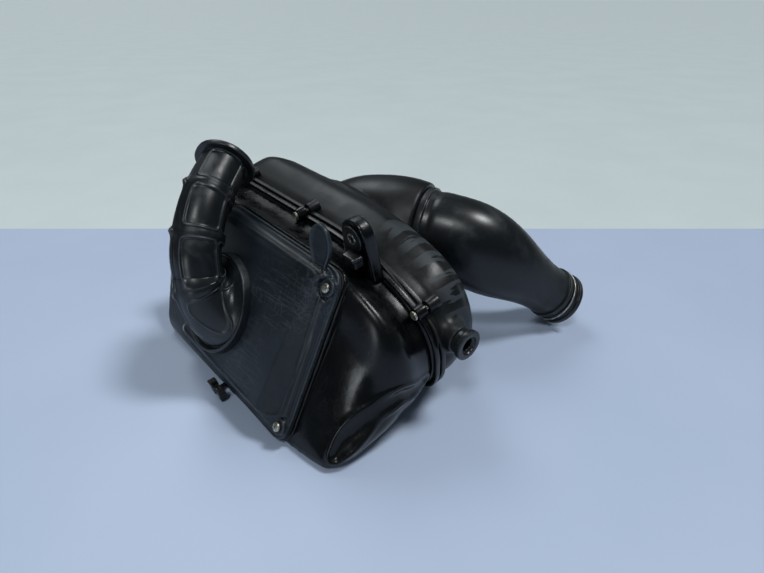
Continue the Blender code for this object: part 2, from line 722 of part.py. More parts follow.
def add_rectangle(curve, x0, y0, x1, y1):
    spline = curve.splines.new("POLY")
    spline.points.add(3)
    spline.use_cyclic_u = True
    for point, (x, y) in zip(spline.points, ((x0, y0), (x1, y0), (x1, y1), (x0, y1))):
        point.co = (x, y, 0.0, 1.0)


# ---------------------------------------------------------------------------------------------
# Outlet boot


def boot_points():
    first, last = BOOT_START_AIM.normalized(), BOOT_END_AIM.normalized()
    a, d = BOOT_START, BOOT_END
    b, c = a + first * BOOT_REACH_START, d - last * BOOT_REACH_END
    count = 28
    points = []
    for k in range(count + 1):
        t = k / count
        s = 1 - t
        points.append(s**3 * a + 3 * s**2 * t * b + 3 * s * t**2 * c + t**3 * d)
    return points


def boot_radius(share):
    """Full width along the first third, then an even taper to the collar."""
    return eased(BOOT_RADIUS, BOOT_END_RADIUS, min(max((share - 0.22) / 0.60, 0.0), 1.0))


def outlet_boot():
    """Cuff, tapering bend and end collar, with beads either side of the wire ring's groove."""
    points = boot_points()
    end = length_of(points)
    cuff, bead, wall, steps = 0.007, 0.0028, BOOT_WALL, 11
    profile = [(0.0, BOOT_RADIUS - wall), (0.0, BOOT_RADIUS + bead), (cuff, BOOT_RADIUS + bead), (cuff, BOOT_RADIUS)]
    collar = end - 0.030
    for k in range(1, steps + 1):
        distance = cuff + (collar - cuff) * k / steps
        profile.append((distance, boot_radius(distance / end)))
    radius = BOOT_END_RADIUS
    for low, high in ((0.027, 0.022), (0.006, 0.0)):
        profile += [(end - low, radius), (end - low, radius + bead), (end - high, radius + bead)]
        if high:
            profile.append((end - high, radius))
    profile.append((end, radius - wall))
    for k in range(1, steps):
        distance = end + (0.004 - end) * k / steps
        profile.append((distance, boot_radius(distance / end) - wall))
    return bent_tube("outlet_boot", points, profile, RUBBER, first_aim=BOOT_START_AIM)


def boot_retainer():
    """The ring that keeps the boot's cuff round in the neck."""
    outer = BOOT_RADIUS - BOOT_WALL - 0.0012
    profile = [(outer - 0.005, 0.001), (outer, 0.001), (outer, 0.013), (outer - 0.005, 0.013)]
    return turned("boot_retainer", profile, FRAME, matrix=aimed(BOOT_START, BOOT_START_AIM))


def boot_wire_ring():
    """The wire ring in the groove near the boot's far end."""
    radius, low, high = BOOT_END_RADIUS, -0.0160, -0.0140
    inner, outer = radius + 0.0010, radius + 0.0030
    profile = [(inner, low), (outer, low), (outer, high), (inner, high)]
    return turned("boot_wire_ring", profile, STEEL, matrix=aimed(BOOT_END, BOOT_END_AIM))


# ---------------------------------------------------------------------------------------------
# Fasteners, grommets and small parts


def pan_screw(name, length, parent, matrix):
    """A pan-head cross-recess screw: head on +Z over its seat at 0, shank below."""
    body = loft(
        name,
        [
            circle(SHANK_RADIUS, -length),
            circle(SHANK_RADIUS, 0.0),
            circle(HEAD_RADIUS, 0.0),
            circle(HEAD_RADIUS, 0.4 * HEAD_HEIGHT),
            circle(0.86 * HEAD_RADIUS, 0.8 * HEAD_HEIGHT),
            circle(0.55 * HEAD_RADIUS, HEAD_HEIGHT),
        ],
        ZINC,
        parent,
        matrix,
    )
    arm, width, deep = 0.0026, 0.0006, 0.0016
    for turn in (0.0, 90.0):
        slot_matrix = matrix @ Matrix.Rotation(radians(turn), 4, "Z")
        low, high = (-arm, -width, HEAD_HEIGHT - deep), (arm, width, HEAD_HEIGHT + 0.002)
        cut(body, box(f"{name}_slot_{int(turn)}", low, high, ZINC, parent, slot_matrix))
    return body


def circle(radius, height, sides=16):
    turns = [2 * pi * k / sides for k in range(sides)]
    return [Vector((radius * cos(a), radius * sin(a), height)) for a in turns]


def screws():
    for i, (x, z) in enumerate(seam_screw_places(), 1):
        matrix = seam_matrix(x, z) @ Matrix.Translation((0, 0, BOSS_FRONT + GAP))
        pan_screw(f"case_screw_{i}", 0.022, ROOT, matrix)
    for i, (x, y) in enumerate(COVER_SCREWS, 1):
        pan_screw(f"cover_screw_{i}", 0.019, SEAT, Matrix.Translation((x, y, COVER_SCREW_SEAT + GAP)))


def grommet(name, hole, inner, outer, thick, groove_radius, matrix):
    """A rubber grommet: a sleeve of rubber with a flange at each end."""
    half, lip = thick / 2, 0.0022
    profile = [
        (inner, -half),
        (outer, -half),
        (outer, -half + lip),
        (groove_radius, -half + lip),
        (groove_radius, half - lip),
        (outer, half - lip),
        (outer, half),
        (inner, half),
    ]
    return turned(name, profile, RUBBER, matrix=matrix)


def ear_parts():
    matrix = seam_matrix(EAR_X, EAR_Z, EAR_Y)
    thick = EAR_THICK + 2 * (GAP + 0.0022)
    grommet("ear_grommet", EAR_HOLE, SLEEVE_RADIUS + GAP, EAR_HOLE + 0.0025, thick, EAR_HOLE - GAP, matrix)
    half = thick / 2 + 0.0003
    profile = [(SLEEVE_HOLE, -half), (SLEEVE_RADIUS, -half), (SLEEVE_RADIUS, half), (SLEEVE_HOLE, half)]
    turned("ear_sleeve", profile, STEEL, matrix=matrix)


def peg_grommet():
    matrix = aimed((PEG_SEAT_X + GAP + PEG_THICK / 2, PEG_Y, PEG_Z), (1, 0, 0))
    half, waist = PEG_THICK / 2, PEG_RADIUS - 0.0025
    profile = [
        (PEG_HOLE, -half),
        (waist, -half),
        (waist, -0.001),
        (PEG_RADIUS, 0.0005),
        (PEG_RADIUS, half - 0.001),
        (PEG_RADIUS - 0.001, half),
        (PEG_HOLE, half),
    ]
    return turned("peg_grommet", profile, RUBBER, matrix=matrix)


def drain_plug():
    """The round rubber plug in the underside of the front case, at its front edge."""
    matrix = aimed(PLUG_CENTRE, PLUG_AIM)
    return cylinder("drain_plug", PLUG_RADIUS, -PLUG_DEPTH, 0.0012, RUBBER, matrix=matrix)


def hose_clip():
    """The clip on the front edge: two arms on a bar, with a stem back to the case."""
    matrix = Matrix.Translation(CLIP_CENTRE)
    body = box("hose_clip", (-0.0105, -0.0030, -0.0015), (0.0105, 0.0030, 0.0025), MATTE, matrix=matrix)
    for i, x in enumerate((-0.0110, 0.0040), 1):
        arm = box(f"hose_clip_arm_{i}", (x, -0.0037, -0.0085), (x + 0.007, 0.0037, 0.0080), MATTE, matrix=matrix)
        add(body, arm)
    stem = box("hose_clip_stem", (-0.0106, 0.0020, -0.0084), (-0.0045, 0.0106, -0.0060), MATTE, matrix=matrix)
    add(body, stem)
    return body


def cable_clip():
    """The open clip on the shoulder of the case, beside the ear's foot."""
    matrix = Matrix.Translation(CABLE_CLIP_CENTRE)
    body = box("cable_clip", (-0.010, -0.0055, -0.0062), (0.010, 0.0060, -0.0030), MATTE, matrix=matrix)
    for i, x in enumerate((-0.0102, 0.0068), 1):
        wall = box(f"cable_clip_wall_{i}", (x, -0.0056, -0.0061), (x + 0.0034, 0.0061, 0.0065), MATTE, matrix=matrix)
        add(body, wall)
    hook = box("cable_clip_hook", (-0.0101, -0.0054, 0.0035), (0.0030, 0.0059, 0.0064), MATTE, matrix=matrix)
    add(body, hook)
    return body


def build():
    front_case()
    rear_case()
    case_seal()
    filter_cover()
    cover_seal()
    inlet_elbow()
    filter_element()
    outlet_boot()
    boot_retainer()
    boot_wire_ring()
    screws()
    ear_parts()
    peg_grommet()
    drain_plug()
    hose_clip()
    cable_clip()


def stand_on_ground():
    """Moves the assembly so that its box stands on Z 0 with its centre over the origin."""
    bpy.context.view_layer.update()
    graph = bpy.context.evaluated_depsgraph_get()
    points = []
    for obj in PARTS.objects:
        if obj.type == "EMPTY":
            continue
        evaluated = obj.evaluated_get(graph)
        mesh = evaluated.to_mesh()
        points += [evaluated.matrix_world @ vertex.co for vertex in mesh.vertices]
        evaluated.to_mesh_clear()
    low = [min(p[k] for p in points) for k in range(3)]
    high = [max(p[k] for p in points) for k in range(3)]
    ROOT.location = (-(low[0] + high[0]) / 2, -(low[1] + high[1]) / 2, -low[2])


build()
stand_on_ground()
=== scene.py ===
"""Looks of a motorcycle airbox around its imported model: moulded shells, rubber ducts, fasteners,
the filter element, materials, light and camera.

Shapes are in the case's own upright frame (X along the seam, Y from the seam to the rear, Z up) or in
the frame of the cover's seat, and TO_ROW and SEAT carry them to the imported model's frame. Moulded
pieces are signed distances on a grid, negative inside, whose zero surface becomes the mesh. Units are
metres.
"""

from collections import namedtuple
from math import cos, pi, radians, sin, tan

import bpy
import numpy as np
from mathutils import Matrix, Vector


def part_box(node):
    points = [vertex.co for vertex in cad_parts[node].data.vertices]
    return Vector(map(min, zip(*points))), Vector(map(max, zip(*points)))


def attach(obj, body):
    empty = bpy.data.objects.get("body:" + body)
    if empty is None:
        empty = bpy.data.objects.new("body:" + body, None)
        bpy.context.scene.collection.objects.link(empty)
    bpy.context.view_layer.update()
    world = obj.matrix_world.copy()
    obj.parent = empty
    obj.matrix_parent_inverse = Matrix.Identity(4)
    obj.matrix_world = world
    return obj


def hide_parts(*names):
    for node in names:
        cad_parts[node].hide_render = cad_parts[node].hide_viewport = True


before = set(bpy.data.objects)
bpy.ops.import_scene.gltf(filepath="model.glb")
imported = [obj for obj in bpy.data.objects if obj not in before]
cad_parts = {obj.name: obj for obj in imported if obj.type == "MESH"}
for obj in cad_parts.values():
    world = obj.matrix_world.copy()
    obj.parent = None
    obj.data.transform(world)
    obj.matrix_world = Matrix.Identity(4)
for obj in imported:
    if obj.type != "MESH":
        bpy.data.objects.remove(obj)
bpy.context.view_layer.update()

# Lie of the case on the floor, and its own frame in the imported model's
NOSE_UP, DIP_RIGHT = radians(12.0), radians(4.0)
LIE = Matrix.Rotation(DIP_RIGHT, 4, "Y") @ Matrix.Rotation(NOSE_UP, 4, "X")
EAR_X, EAR_Y, EAR_Z = -0.0885, -0.0128, 0.1975
SLEEVE_LOW, SLEEVE_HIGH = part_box("ear_sleeve")
TO_ROW = Matrix.Translation((SLEEVE_LOW + SLEEVE_HIGH) / 2 - LIE @ Vector((EAR_X, EAR_Y, EAR_Z))) @ LIE

# The cover's seat: X as the case's, Y uphill, Z off the seat
SEAT_TURN = radians(52.0)
SEAT_CENTRE = Vector((-0.173, -0.1018, 0.1116))
SEAT_IN_CASE = Matrix.Translation(SEAT_CENTRE) @ Matrix.Rotation(SEAT_TURN, 4, "X")
SEAT = TO_ROW @ SEAT_IN_CASE

# Walls and seam
WALL, GAP, SEAM_GAP = 0.0030, 0.0003, 0.0013
FLANGE_OUT, FLANGE_THICK = 0.007, 0.004
CASE_STEP = 0.0018
SEAT_STEP = 0.0012
PART_STEP = 0.0005
SHELL = 2.4 * CASE_STEP  # how thick the case is drawn: a grid needs two cells between both faces
FAR = 0.05
AXIS = 0.0001  # a turned part's smallest radius
HALVINGS = 30  # rounds of a search that halves its span

# Case sections: y, left, right, bottom, top, chamfer across and down, corner radius, sink of the left end
SEAM_SECTION = (-0.398, 0.000, 0.025, 0.166, 0.088, 0.052, 0.026, 0.0)
FRONT_SECTIONS = (
    (-0.1665, -0.347, -0.110, 0.0276, 0.0282, 0.030, 0.0002, 0.0001, 0.0175),
    (-0.148, -0.368, -0.006, 0.0308, 0.0520, 0.045, 0.010, 0.0045, 0.0195),
    (-0.115, -0.402, 0.010, 0.027, 0.0942, 0.062, 0.034, 0.016, 0.007),
    (-0.080, -0.412, 0.014, 0.025, 0.1390, 0.068, 0.056, 0.024, 0.0),
    (-0.048, -0.410, 0.013, 0.024, 0.1800, 0.070, 0.058, 0.028, 0.0),
    (-0.020, -0.402, 0.004, 0.024, 0.1672, 0.085, 0.055, 0.028, 0.0),
    (-0.0022, *SEAM_SECTION),
)
REAR_SECTIONS = (
    (0.0022, *SEAM_SECTION),
    (0.020, -0.404, 0.008, 0.023, 0.1735, 0.088, 0.054, 0.032, 0.0),
    (0.046, -0.403, 0.006, 0.026, 0.1790, 0.086, 0.056, 0.036, 0.0),
    (0.068, -0.390, -0.009, 0.037, 0.1700, 0.082, 0.052, 0.036, 0.0),
    (0.081, -0.360, -0.041, 0.058, 0.1480, 0.066, 0.036, 0.028, 0.0),
    (0.0862, -0.318, -0.090, 0.084, 0.1230, 0.030, 0.012, 0.010, 0.0),
)
CORNER_BLEND = 1.6  # a smooth maximum this many radii wide rounds a corner as an arc of one radius does

# Filter cover, in the seat's frame
COVER_HALF_X, COVER_FLARE, COVER_UP, COVER_DOWN, COVER_HEIGHT = 0.1085, 0.0075, 0.0880, 0.0985, 0.018
COVER_CORNER, COVER_BASE, COVER_SKIRT, LUG_RADIUS = 0.014, 0.0026, 0.0105, 0.0085
COVER_SCREWS = ((0.0995, 0.0690), (0.1055, -0.0810), (-0.1055, -0.0810), (-0.0995, 0.0690))
COVER_SCREW_SEAT = 0.0125
COVER_FIELD = ((-0.0960, 0.0705), (0.0835, 0.0715), (0.0757, -0.0745), (-0.0930, -0.0985))
COVER_FIELD_RISE, COVER_FIELD_DROP, COVER_FIELD_FALL = 0.0040, 0.0055, 0.0100
INLET_X, INLET_Y, INLET_RADIUS = -0.039, -0.014, 0.041
TAB_WIDTH, TAB_HEIGHT, TAB_BLADE_HALF, TAB_THICK = 0.032, 0.046, 0.021, 0.005
TAB_FOOT = Vector((0.080, COVER_UP - 0.006, COVER_BASE + 0.007))
TAB_FRAME = Matrix.Translation(TAB_FOOT) @ Matrix.Rotation(radians(22), 4, "X")

# Filter element and its tray
TRAY_HALF_X, TRAY_HALF_Y, TRAY_DEPTH, TRAY_LEDGE = 0.0915, 0.070, 0.025, 0.008
ELEMENT_RIM, PLEATS = 0.0085, 24

# Inlet elbow, measured from the middle of its foot: it leaves along ELBOW_WAY, its flared root is
# given by rings that tip over, and its tube follows a line of (x, uphill, height)
ELBOW_WAY = Vector((-0.187, 0.982, 0.0))
ELBOW_ROOT = (
    # along the way, height, tilt in degrees, radius outside, radius inside
    (0.0000, 0.0075, 0.0, 0.0500, 0.0385),
    (-0.0015, 0.0098, 2.2, 0.0455, 0.0375),
    (-0.0016, 0.0125, 5.6, 0.0416, 0.0355),
    (-0.0004, 0.0159, 10.7, 0.0383, 0.0335),
    (0.0023, 0.0196, 17.1, 0.0353, 0.0314),
    (0.0061, 0.0236, 25.3, 0.0327, 0.0290),
    (0.0109, 0.0274, 34.9, 0.0304, 0.0268),
    (0.0173, 0.0312, 47.1, 0.0284, 0.0248),
    (0.0258, 0.0345, 61.6, 0.0272, 0.0237),
)
ELBOW_PATH = ((-0.016, 0.054, 0.0410), (-0.040, 0.097, 0.0330), (-0.076, 0.142, 0.004))
ELBOW_RADIUS, ELBOW_WALL = 0.0272, 0.0035
ELBOW_FOOT_RADIUS, ELBOW_FOOT_THICK = 0.0575, 0.0075
ELBOW_RIM_RADIUS, ELBOW_RIM_THICK = 0.0345, 0.0060
ELBOW_PANELS = ((0.010, 0.0400), (0.0490, 0.0870), (0.098, 0.137), (0.147, 0.187))  # from and to, along it
ELBOW_PANEL_AIM, ELBOW_PANEL_HALF = Vector((0.977, -0.209, 0.0)), radians(41)
ELBOW_PANEL_ROWS = ((0.0, 0.0006), (1.52, 0.0014), (pi, 0.0006))  # turn from the aim, depth of the panels
ELBOW_FRAME, ELBOW_BAND, ELBOW_LUG = 0.0010, 0.0011, 0.0034  # heights over the plain tube
ELBOW_PARTING, ELBOW_PARTING_HEIGHT, ELBOW_PARTING_HALF = -radians(69), 0.0009, 0.0016
ELBOW_FOOT = Vector((INLET_X, INLET_Y, COVER_HEIGHT + 0.003 + GAP))
ELBOW_AROUND, ELBOW_ROOT_RINGS, ELBOW_TUBE_RINGS = 240, 97, 60  # the last for each span of its path
ELBOW_INNER_FIRST, ELBOW_INNER_STEP = 26, 7  # the bore needs only some of the rings

# Outlet neck and boot
NECK_PATH = (
    (-0.272, 0.080, 0.104),
    (-0.252, 0.093, 0.101),
    (-0.225, 0.109, 0.098),
    (-0.192, 0.1250, 0.0947),
    (-0.176, 0.1325, 0.0937),
    (-0.160, 0.1400, 0.0927),
)
NECK_RADII = (0.030, 0.050, 0.0610, 0.0655, 0.0640, 0.0590)
BOOT_START_AIM = Vector((0.016, 0.0075, -0.0010)).normalized()
BOOT_START = Vector(NECK_PATH[-1]) + 0.0006 * BOOT_START_AIM
BOOT_END, BOOT_END_AIM = Vector((-0.020, 0.2606, -0.0261)), Vector((0.44, 0.62, -0.65)).normalized()
BOOT_REACH_START, BOOT_REACH_END = 0.105, 0.075
BOOT_WALL, BOOT_RADIUS, BOOT_END_RADIUS, BOOT_BEAD = 0.0045, 0.0545, 0.0335, 0.0028
BOOT_TAPER_FROM, BOOT_TAPER_SHARE = 0.22, 0.60  # shares of its length
BOOT_SWELL, BOOT_SWELL_TURN = 0.0070, 2.41  # of its lower side
BOOT_CUFF, BOOT_COLLAR, BOOT_AROUND, BOOT_RINGS, BOOT_INNER_RINGS = 0.007, 0.030, 144, 110, 24
WIRE_RADIUS, WIRE_BACK = 0.0011, 0.0150

# Fasteners: side of the seam outline, share of the way along it, distance outside it
HEAD_RADIUS, HEAD_HEIGHT, SHANK_RADIUS, SHANK_LENGTH = 0.0050, 0.0032, 0.0024, 0.0185
THREAD_PITCH, THREAD_HEIGHT, SCREW_STEP = 0.0008, 0.00022, 0.00022
BOSS_RADIUS, BOSS_FRONT, BOSS_REAR = 0.0077, 0.013, 0.016
SEAM_SCREWS = (
    (0, 0.20, 0.0080),
    (0, 0.615, 0.0080),
    (1, 0.735, 0.0080),
    (3, 0.09, 0.0080),
    (3, 0.22, 0.0080),
    (3, 0.55, 0.0080),
    (3, 0.88, 0.0080),
    (4, 0.52, 0.0136),
)

# Ear, grommets, recess and small parts
EAR_RADIUS, EAR_THICK, EAR_HOLE, EAR_FOOT = 0.0195, 0.0143, 0.0115, 0.045
SLEEVE_RADIUS, SLEEVE_HOLE = 0.0063, 0.0041
PEG_Y, PEG_Z, PEG_RADIUS, PEG_HOLE, PEG_THICK, PEG_SEAT_X = 0.0195, 0.0960, 0.0165, 0.0072, 0.012, 0.0125
RECESS = (
    # x, y, z, radius of the balls that scoop out the trough in the lower right edge
    (0.0032, -0.0207, 0.0587, 0.0059),
    (0.0120, -0.0420, 0.0690, 0.0078),
    (0.0172, -0.0641, 0.0793, 0.0107),
    (0.0165, -0.0884, 0.0805, 0.0142),
    (0.0112, -0.1095, 0.0740, 0.0165),
    (0.0052, -0.1235, 0.0655, 0.0150),
    (0.0010, -0.1325, 0.0575, 0.0110),
    (-0.0025, -0.1400, 0.0485, 0.0060),
)
RECESS_MIDDLE, RECESS_REACH = Vector((0.004, -0.083, 0.065)), 0.088
RECESS_RIM_WIDTH, RECESS_RIM_HEIGHT, RECESS_SOFT = 0.0035, 0.0016, 0.004
PLUG_CENTRE, PLUG_AIM = Vector((-0.1285, -0.1503, 0.0262)), Vector((0.0, -0.14, -0.99))
PLUG_RADIUS, PLUG_DEPTH = 0.0120, 0.0035
CLIP_CENTRE, CLIP_SCALE = Vector((-0.177, -0.1775, 0.0360)), 1.12
HOSE_CLIP = (
    # blocks: centre, half size, rounding
    ((0, 0, 0.0005), (0.0105, 0.0030, 0.0020), 0.0008),
    ((-0.0075, 0, -0.0003), (0.0035, 0.0037, 0.0082), 0.0010),
    ((-0.0075, -0.0030, 0.0070), (0.0035, 0.0016, 0.0012), 0.0008),
    ((0.0075, 0, -0.0003), (0.0035, 0.0037, 0.0082), 0.0010),
    ((0.0075, -0.0030, 0.0070), (0.0035, 0.0016, 0.0012), 0.0008),
    ((-0.0075, 0.0063, -0.0072), (0.0030, 0.0043, 0.0012), 0.0008),
)
CABLE_CLIP_CENTRE = Vector((-0.0800, -0.0305, 0.1820))
CABLE_CLIP = (
    # its body, the slot in it and its tongue
    ((0, 0, -0.0005), (0.0102, 0.0058, 0.0056), 0.0018),
    ((0, -0.0062, -0.0020), (0.0082, 0.0014, 0.0030), 0.0008),
    ((0.0080, -0.0010, 0.0040), (0.0020, 0.0062, 0.0016), 0.0012),
)

# Camera and stage
CAMERA_PLACE = TO_ROW.translation + Vector((0.3045, -0.3555, 0.4020))
CAMERA_PITCH, CAMERA_HEADING, CAMERA_LENS = 28.5, 48.8, 25.2
TABLE_EDGE = 0.98  # how far in front of the camera, over the floor, the table top's colour ends
FLOOR_HALF = 120.0
ROOM_COLOR, ROOM_STRENGTH = (0.74, 0.86, 0.95, 1.0), 0.10
WINDOW = (
    # place, what it shines at, width, height, power, colour
    (0.62, -2.0, 0.46), (0.0, 0.0, 0.1), 0.30, 0.50, 3.0, (0.88, 0.95, 1.0)
)
LAMPS = (
    # heading, height over the floor and width in degrees, strength, colour
    ("lamps_right", 55, 62, 13, 1.35, (0.95, 0.98, 1.0)),
    ("lamps_front", -58, 58, 12, 0.65, (0.94, 0.98, 1.0)),
    ("lamps_left", 165, 52, 26, 0.60, (0.90, 0.96, 1.0)),
)


# ---------------------------------------------------------------------------------------------
# Signed distances on a grid

Shape = namedtuple("Shape", "distance centre reach")


def shift(x, y, z):
    return Matrix.Translation((x, y, z))


def smooth_min(a, b, soft):
    near = np.maximum(soft - np.abs(a - b), 0) / soft
    return np.minimum(a, b) - near * near * soft / 4


def smooth_max(a, b, soft):
    return -smooth_min(-a, -b, soft)


def local(matrix, x, y, z):
    """Coordinates of grid points in the frame that a matrix places in the grid's."""
    m = np.array(matrix.inverted())
    return [m[k, 0] * x + m[k, 1] * y + m[k, 2] * z + m[k, 3] for k in range(3)]


def rounded(gaps, soft):
    """Distance to the body inside all of the given sides, with its edges rounded."""
    gaps = [gap + soft for gap in gaps]
    most = gaps[0]
    for gap in gaps[1:]:
        most = np.maximum(most, gap)
    outside = np.sqrt(sum(np.maximum(gap, 0) ** 2 for gap in gaps))
    return outside + np.minimum(most, 0) - soft


def block(matrix, half, soft=0.0008):
    def distance(x, y, z):
        return rounded([np.abs(p) - h for p, h in zip(local(matrix, x, y, z), half)], soft)

    return Shape(distance, matrix.translation, Vector(half).length)


def rod(matrix, radius, low, high, soft=0.0006):
    """A cylinder along the matrix's own Z, from low to high."""
    middle, half = (low + high) / 2, (high - low) / 2

    def distance(x, y, z):
        a, b, c = local(matrix, x, y, z)
        return rounded([np.sqrt(a * a + b * b) - radius, np.abs(c - middle) - half], soft)

    return Shape(distance, matrix @ Vector((0, 0, middle)), (radius**2 + half**2) ** 0.5)


def ellipsoid(centre, size):
    def distance(x, y, z):
        a, b, c = ((p - q) / s for p, q, s in zip((x, y, z), centre, size))
        return (np.sqrt(a * a + b * b + c * c) - 1) * min(size)

    return Shape(distance, centre, max(size))


def convex(x, y, corners, soft):
    """Distance outside a convex outline whose corners are given clockwise."""
    distance = None
    for (x0, y0), (x1, y1) in zip(corners, corners[1:] + corners[:1]):
        along_x, along_y = x1 - x0, y1 - y0
        side = (along_x * (y - y0) - along_y * (x - x0)) / np.sqrt(along_x**2 + along_y**2)
        distance = side if distance is None else smooth_max(distance, side, soft)
    return distance


def balls(x, y, z, rows):
    """Distance to the union of balls, each given as (x, y, z, radius)."""
    distance = np.inf
    for cx, cy, cz, radius in rows:
        distance = np.minimum(distance, np.sqrt((x - cx) ** 2 + (y - cy) ** 2 + (z - cz) ** 2) - radius)
    return distance


class Field:
    """Signed distances on a grid between two corners, to which shapes are joined or cut."""

    def __init__(self, low, high, step):
        self.step = step
        self.axes = [np.arange(a, b + step, step) for a, b in zip(low, high)]
        self.values = np.full([len(axis) for axis in self.axes], FAR, np.float32)

    def grid(self, spans=(slice(None),) * 3):
        x, y, z = (axis[span] for axis, span in zip(self.axes, spans))
        return x[:, None, None], y[None, :, None], z[None, None, :]

    def window(self, shape, soft):
        reach = shape.reach + soft + 2 * self.step
        spans = []
        for axis, middle in zip(self.axes, shape.centre):
            spans.append(slice(*np.searchsorted(axis, (middle - reach, middle + reach))))
        return tuple(spans)

    def join(self, shape, soft=0.002):
        spans = self.window(shape, soft)
        self.values[spans] = smooth_min(self.values[spans], shape.distance(*self.grid(spans)), soft)

    def cut(self, shape, soft=0.001):
        spans = self.window(shape, soft)
        self.values[spans] = smooth_max(self.values[spans], -shape.distance(*self.grid(spans)), soft)

    def even_out(self):
        """Divides by the slope, so that values near the surface are true distances."""
        slopes = np.gradient(self.values, self.step)
        self.values /= np.clip(np.sqrt(sum(s * s for s in slopes)), 0.25, 4.0)

    def hold(self, values):
        self.values = np.asarray(values, np.float32)

    def hollow(self, wall):
        self.values = np.maximum(self.values, -(self.values + wall))

    def surface(self):
        """Points and quads of the zero surface: one point in each cell that it crosses, moved onto it."""
        shape = np.array(self.values.shape)
        stride = np.array([shape[1] * shape[2], shape[2], 1])
        cells, crossings = [], []
        for axis in range(3):
            head, tail = [slice(None)] * 3, [slice(None)] * 3
            head[axis], tail[axis] = slice(0, -1), slice(1, None)
            first, second = self.values[tuple(head)], self.values[tuple(tail)]
            change = (first < 0) != (second < 0)
            at = np.argwhere(change)
            place = at.astype(float)
            place[:, axis] += first[change] / (first[change] - second[change])
            u, v = stride[(axis + 1) % 3], stride[(axis + 2) % 3]
            here = at @ stride
            around = np.stack([here, here - u, here - u - v, here - v], axis=1)
            inward = first[change] >= 0
            around[inward] = around[inward][:, ::-1]
            cells.append(around)
            crossings.append(place)
        cells, crossings = np.concatenate(cells), np.repeat(np.concatenate(crossings), 4, axis=0)
        _, index = np.unique(cells.ravel(), return_inverse=True)
        index = index.ravel()
        count = np.bincount(index)
        points = np.stack([np.bincount(index, weights=crossings[:, k]) / count for k in range(3)], axis=1)
        return self.settled(points), index.reshape(-1, 4)

    def settled(self, points, rounds=3):
        """Grid points moved down the slope onto the zero surface, in the grid's own frame."""
        slopes = np.gradient(self.values)
        for _ in range(rounds):
            value = self.read(self.values, points)
            slope = np.stack([self.read(s, points) for s in slopes], axis=1)
            size = np.maximum((slope**2).sum(axis=1), 1e-9)
            most = 0.4 / np.sqrt(size)
            points = points - np.clip(value / size, -most, most)[:, None] * slope
        return points * self.step + np.array([axis[0] for axis in self.axes])

    @staticmethod
    def read(values, points):
        limit = np.array(values.shape) - 2
        low = np.clip(np.floor(points).astype(int), 0, limit)
        share = points - low
        total = 0
        for corner in np.ndindex(2, 2, 2):
            weight = np.prod(np.where(np.array(corner), share, 1 - share), axis=1)
            total = total + weight * values[tuple((low + np.array(corner)).T)]
        return total


# ---------------------------------------------------------------------------------------------
# Mesh pieces


def added(name, data):
    obj = bpy.data.objects.new(name, data)
    bpy.context.scene.collection.objects.link(obj)
    return obj


def moved(part, matrix):
    """A part's points carried by a matrix, with its faces as they were."""
    points, faces = part
    m = np.array(matrix)
    return np.asarray(points) @ m[:3, :3].T + m[:3, 3], faces


def piece(name, parts, finish, body, nodes, matrix=TO_ROW, crease=40):
    """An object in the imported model's frame, from (points, faces) parts, that stands for CAD nodes."""
    points, faces = [], []
    for part_points, part_faces in parts:
        faces += (np.asarray(part_faces) + len(points)).tolist()
        points += np.asarray(part_points).tolist()
    points, faces = moved((points, faces), matrix)
    mesh = bpy.data.meshes.new(name)
    mesh.from_pydata(points.tolist(), [], faces)
    mesh.materials.append(finish.material)
    mesh.shade_smooth()
    mesh.set_sharp_from_angle(angle=radians(crease))
    obj = added(name, mesh)
    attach(obj, body)
    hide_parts(*nodes)


def moulded(name, field, finish, body, nodes, matrix=TO_ROW):
    piece(name, [field.surface()], finish, body, nodes, matrix, crease=60)


def fillet(profile, radius, steps=4):
    """A closed profile's points with each corner rounded as far as its sides allow."""
    result = []
    count = len(profile)
    for i in range(count):
        here, before, after = (Vector(profile[k % count]) for k in (i, i - 1, i + 1))
        reach = min(radius, 0.45 * (before - here).length, 0.45 * (after - here).length)
        a, b = here + (before - here).normalized() * reach, here + (after - here).normalized() * reach
        for k in range(steps + 1):
            t = k / steps
            result.append((1 - t) ** 2 * a + 2 * t * (1 - t) * here + t**2 * b)
    return result


def angles(around):
    return np.arange(around) * 2 * pi / around


def ring_faces(rings, around):
    """Quads that join each ring of points to the next one, and the last to the first."""
    faces = []
    for i in range(rings):
        j = (i + 1) % rings
        for k in range(around):
            m = (k + 1) % around
            faces.append((i * around + k, i * around + m, j * around + m, j * around + k))
    return faces


def turned(profile, soft=0.0006, around=72):
    """A part turned about Z from a closed (radius, height) profile off the axis."""
    outline = fillet(profile, soft)
    turn = angles(around)
    points = []
    for radius, height in outline:
        points += [(radius * cos(a), radius * sin(a), height) for a in turn]
    return points, ring_faces(len(outline), around)


def through(stations, values, at):
    """A smooth curve through values at rising stations, with no overshoot, read at other stations."""
    stations, values = np.array(stations, float), np.array(values, float)
    gaps = np.diff(stations)
    slopes = np.diff(values) / gaps
    same = slopes[1:] * slopes[:-1] > 1e-12
    inner = np.where(same, 2 * slopes[1:] * slopes[:-1] / np.where(same, slopes[1:] + slopes[:-1], 1), 0)
    tangents = np.concatenate([[slopes[0]], inner, [slopes[-1]]])
    at = np.clip(at, stations[0], stations[-1])
    k = np.clip(np.searchsorted(stations, at) - 1, 0, len(gaps) - 1)
    t = (at - stations[k]) / gaps[k]
    bend = (1 + 2 * t) * (1 - t) ** 2 * values[k] + t * t * (3 - 2 * t) * values[k + 1]
    return bend + gaps[k] * (t * (1 - t) ** 2 * tangents[k] - t * t * (1 - t) * tangents[k + 1])


def filled_in(rows, count):
    """A table's columns, each read by a smooth curve at count places spread over its rows."""
    rows = np.array(rows)
    at = np.linspace(0, len(rows) - 1, count)
    return [through(np.arange(len(rows)), column, at) for column in rows.T]


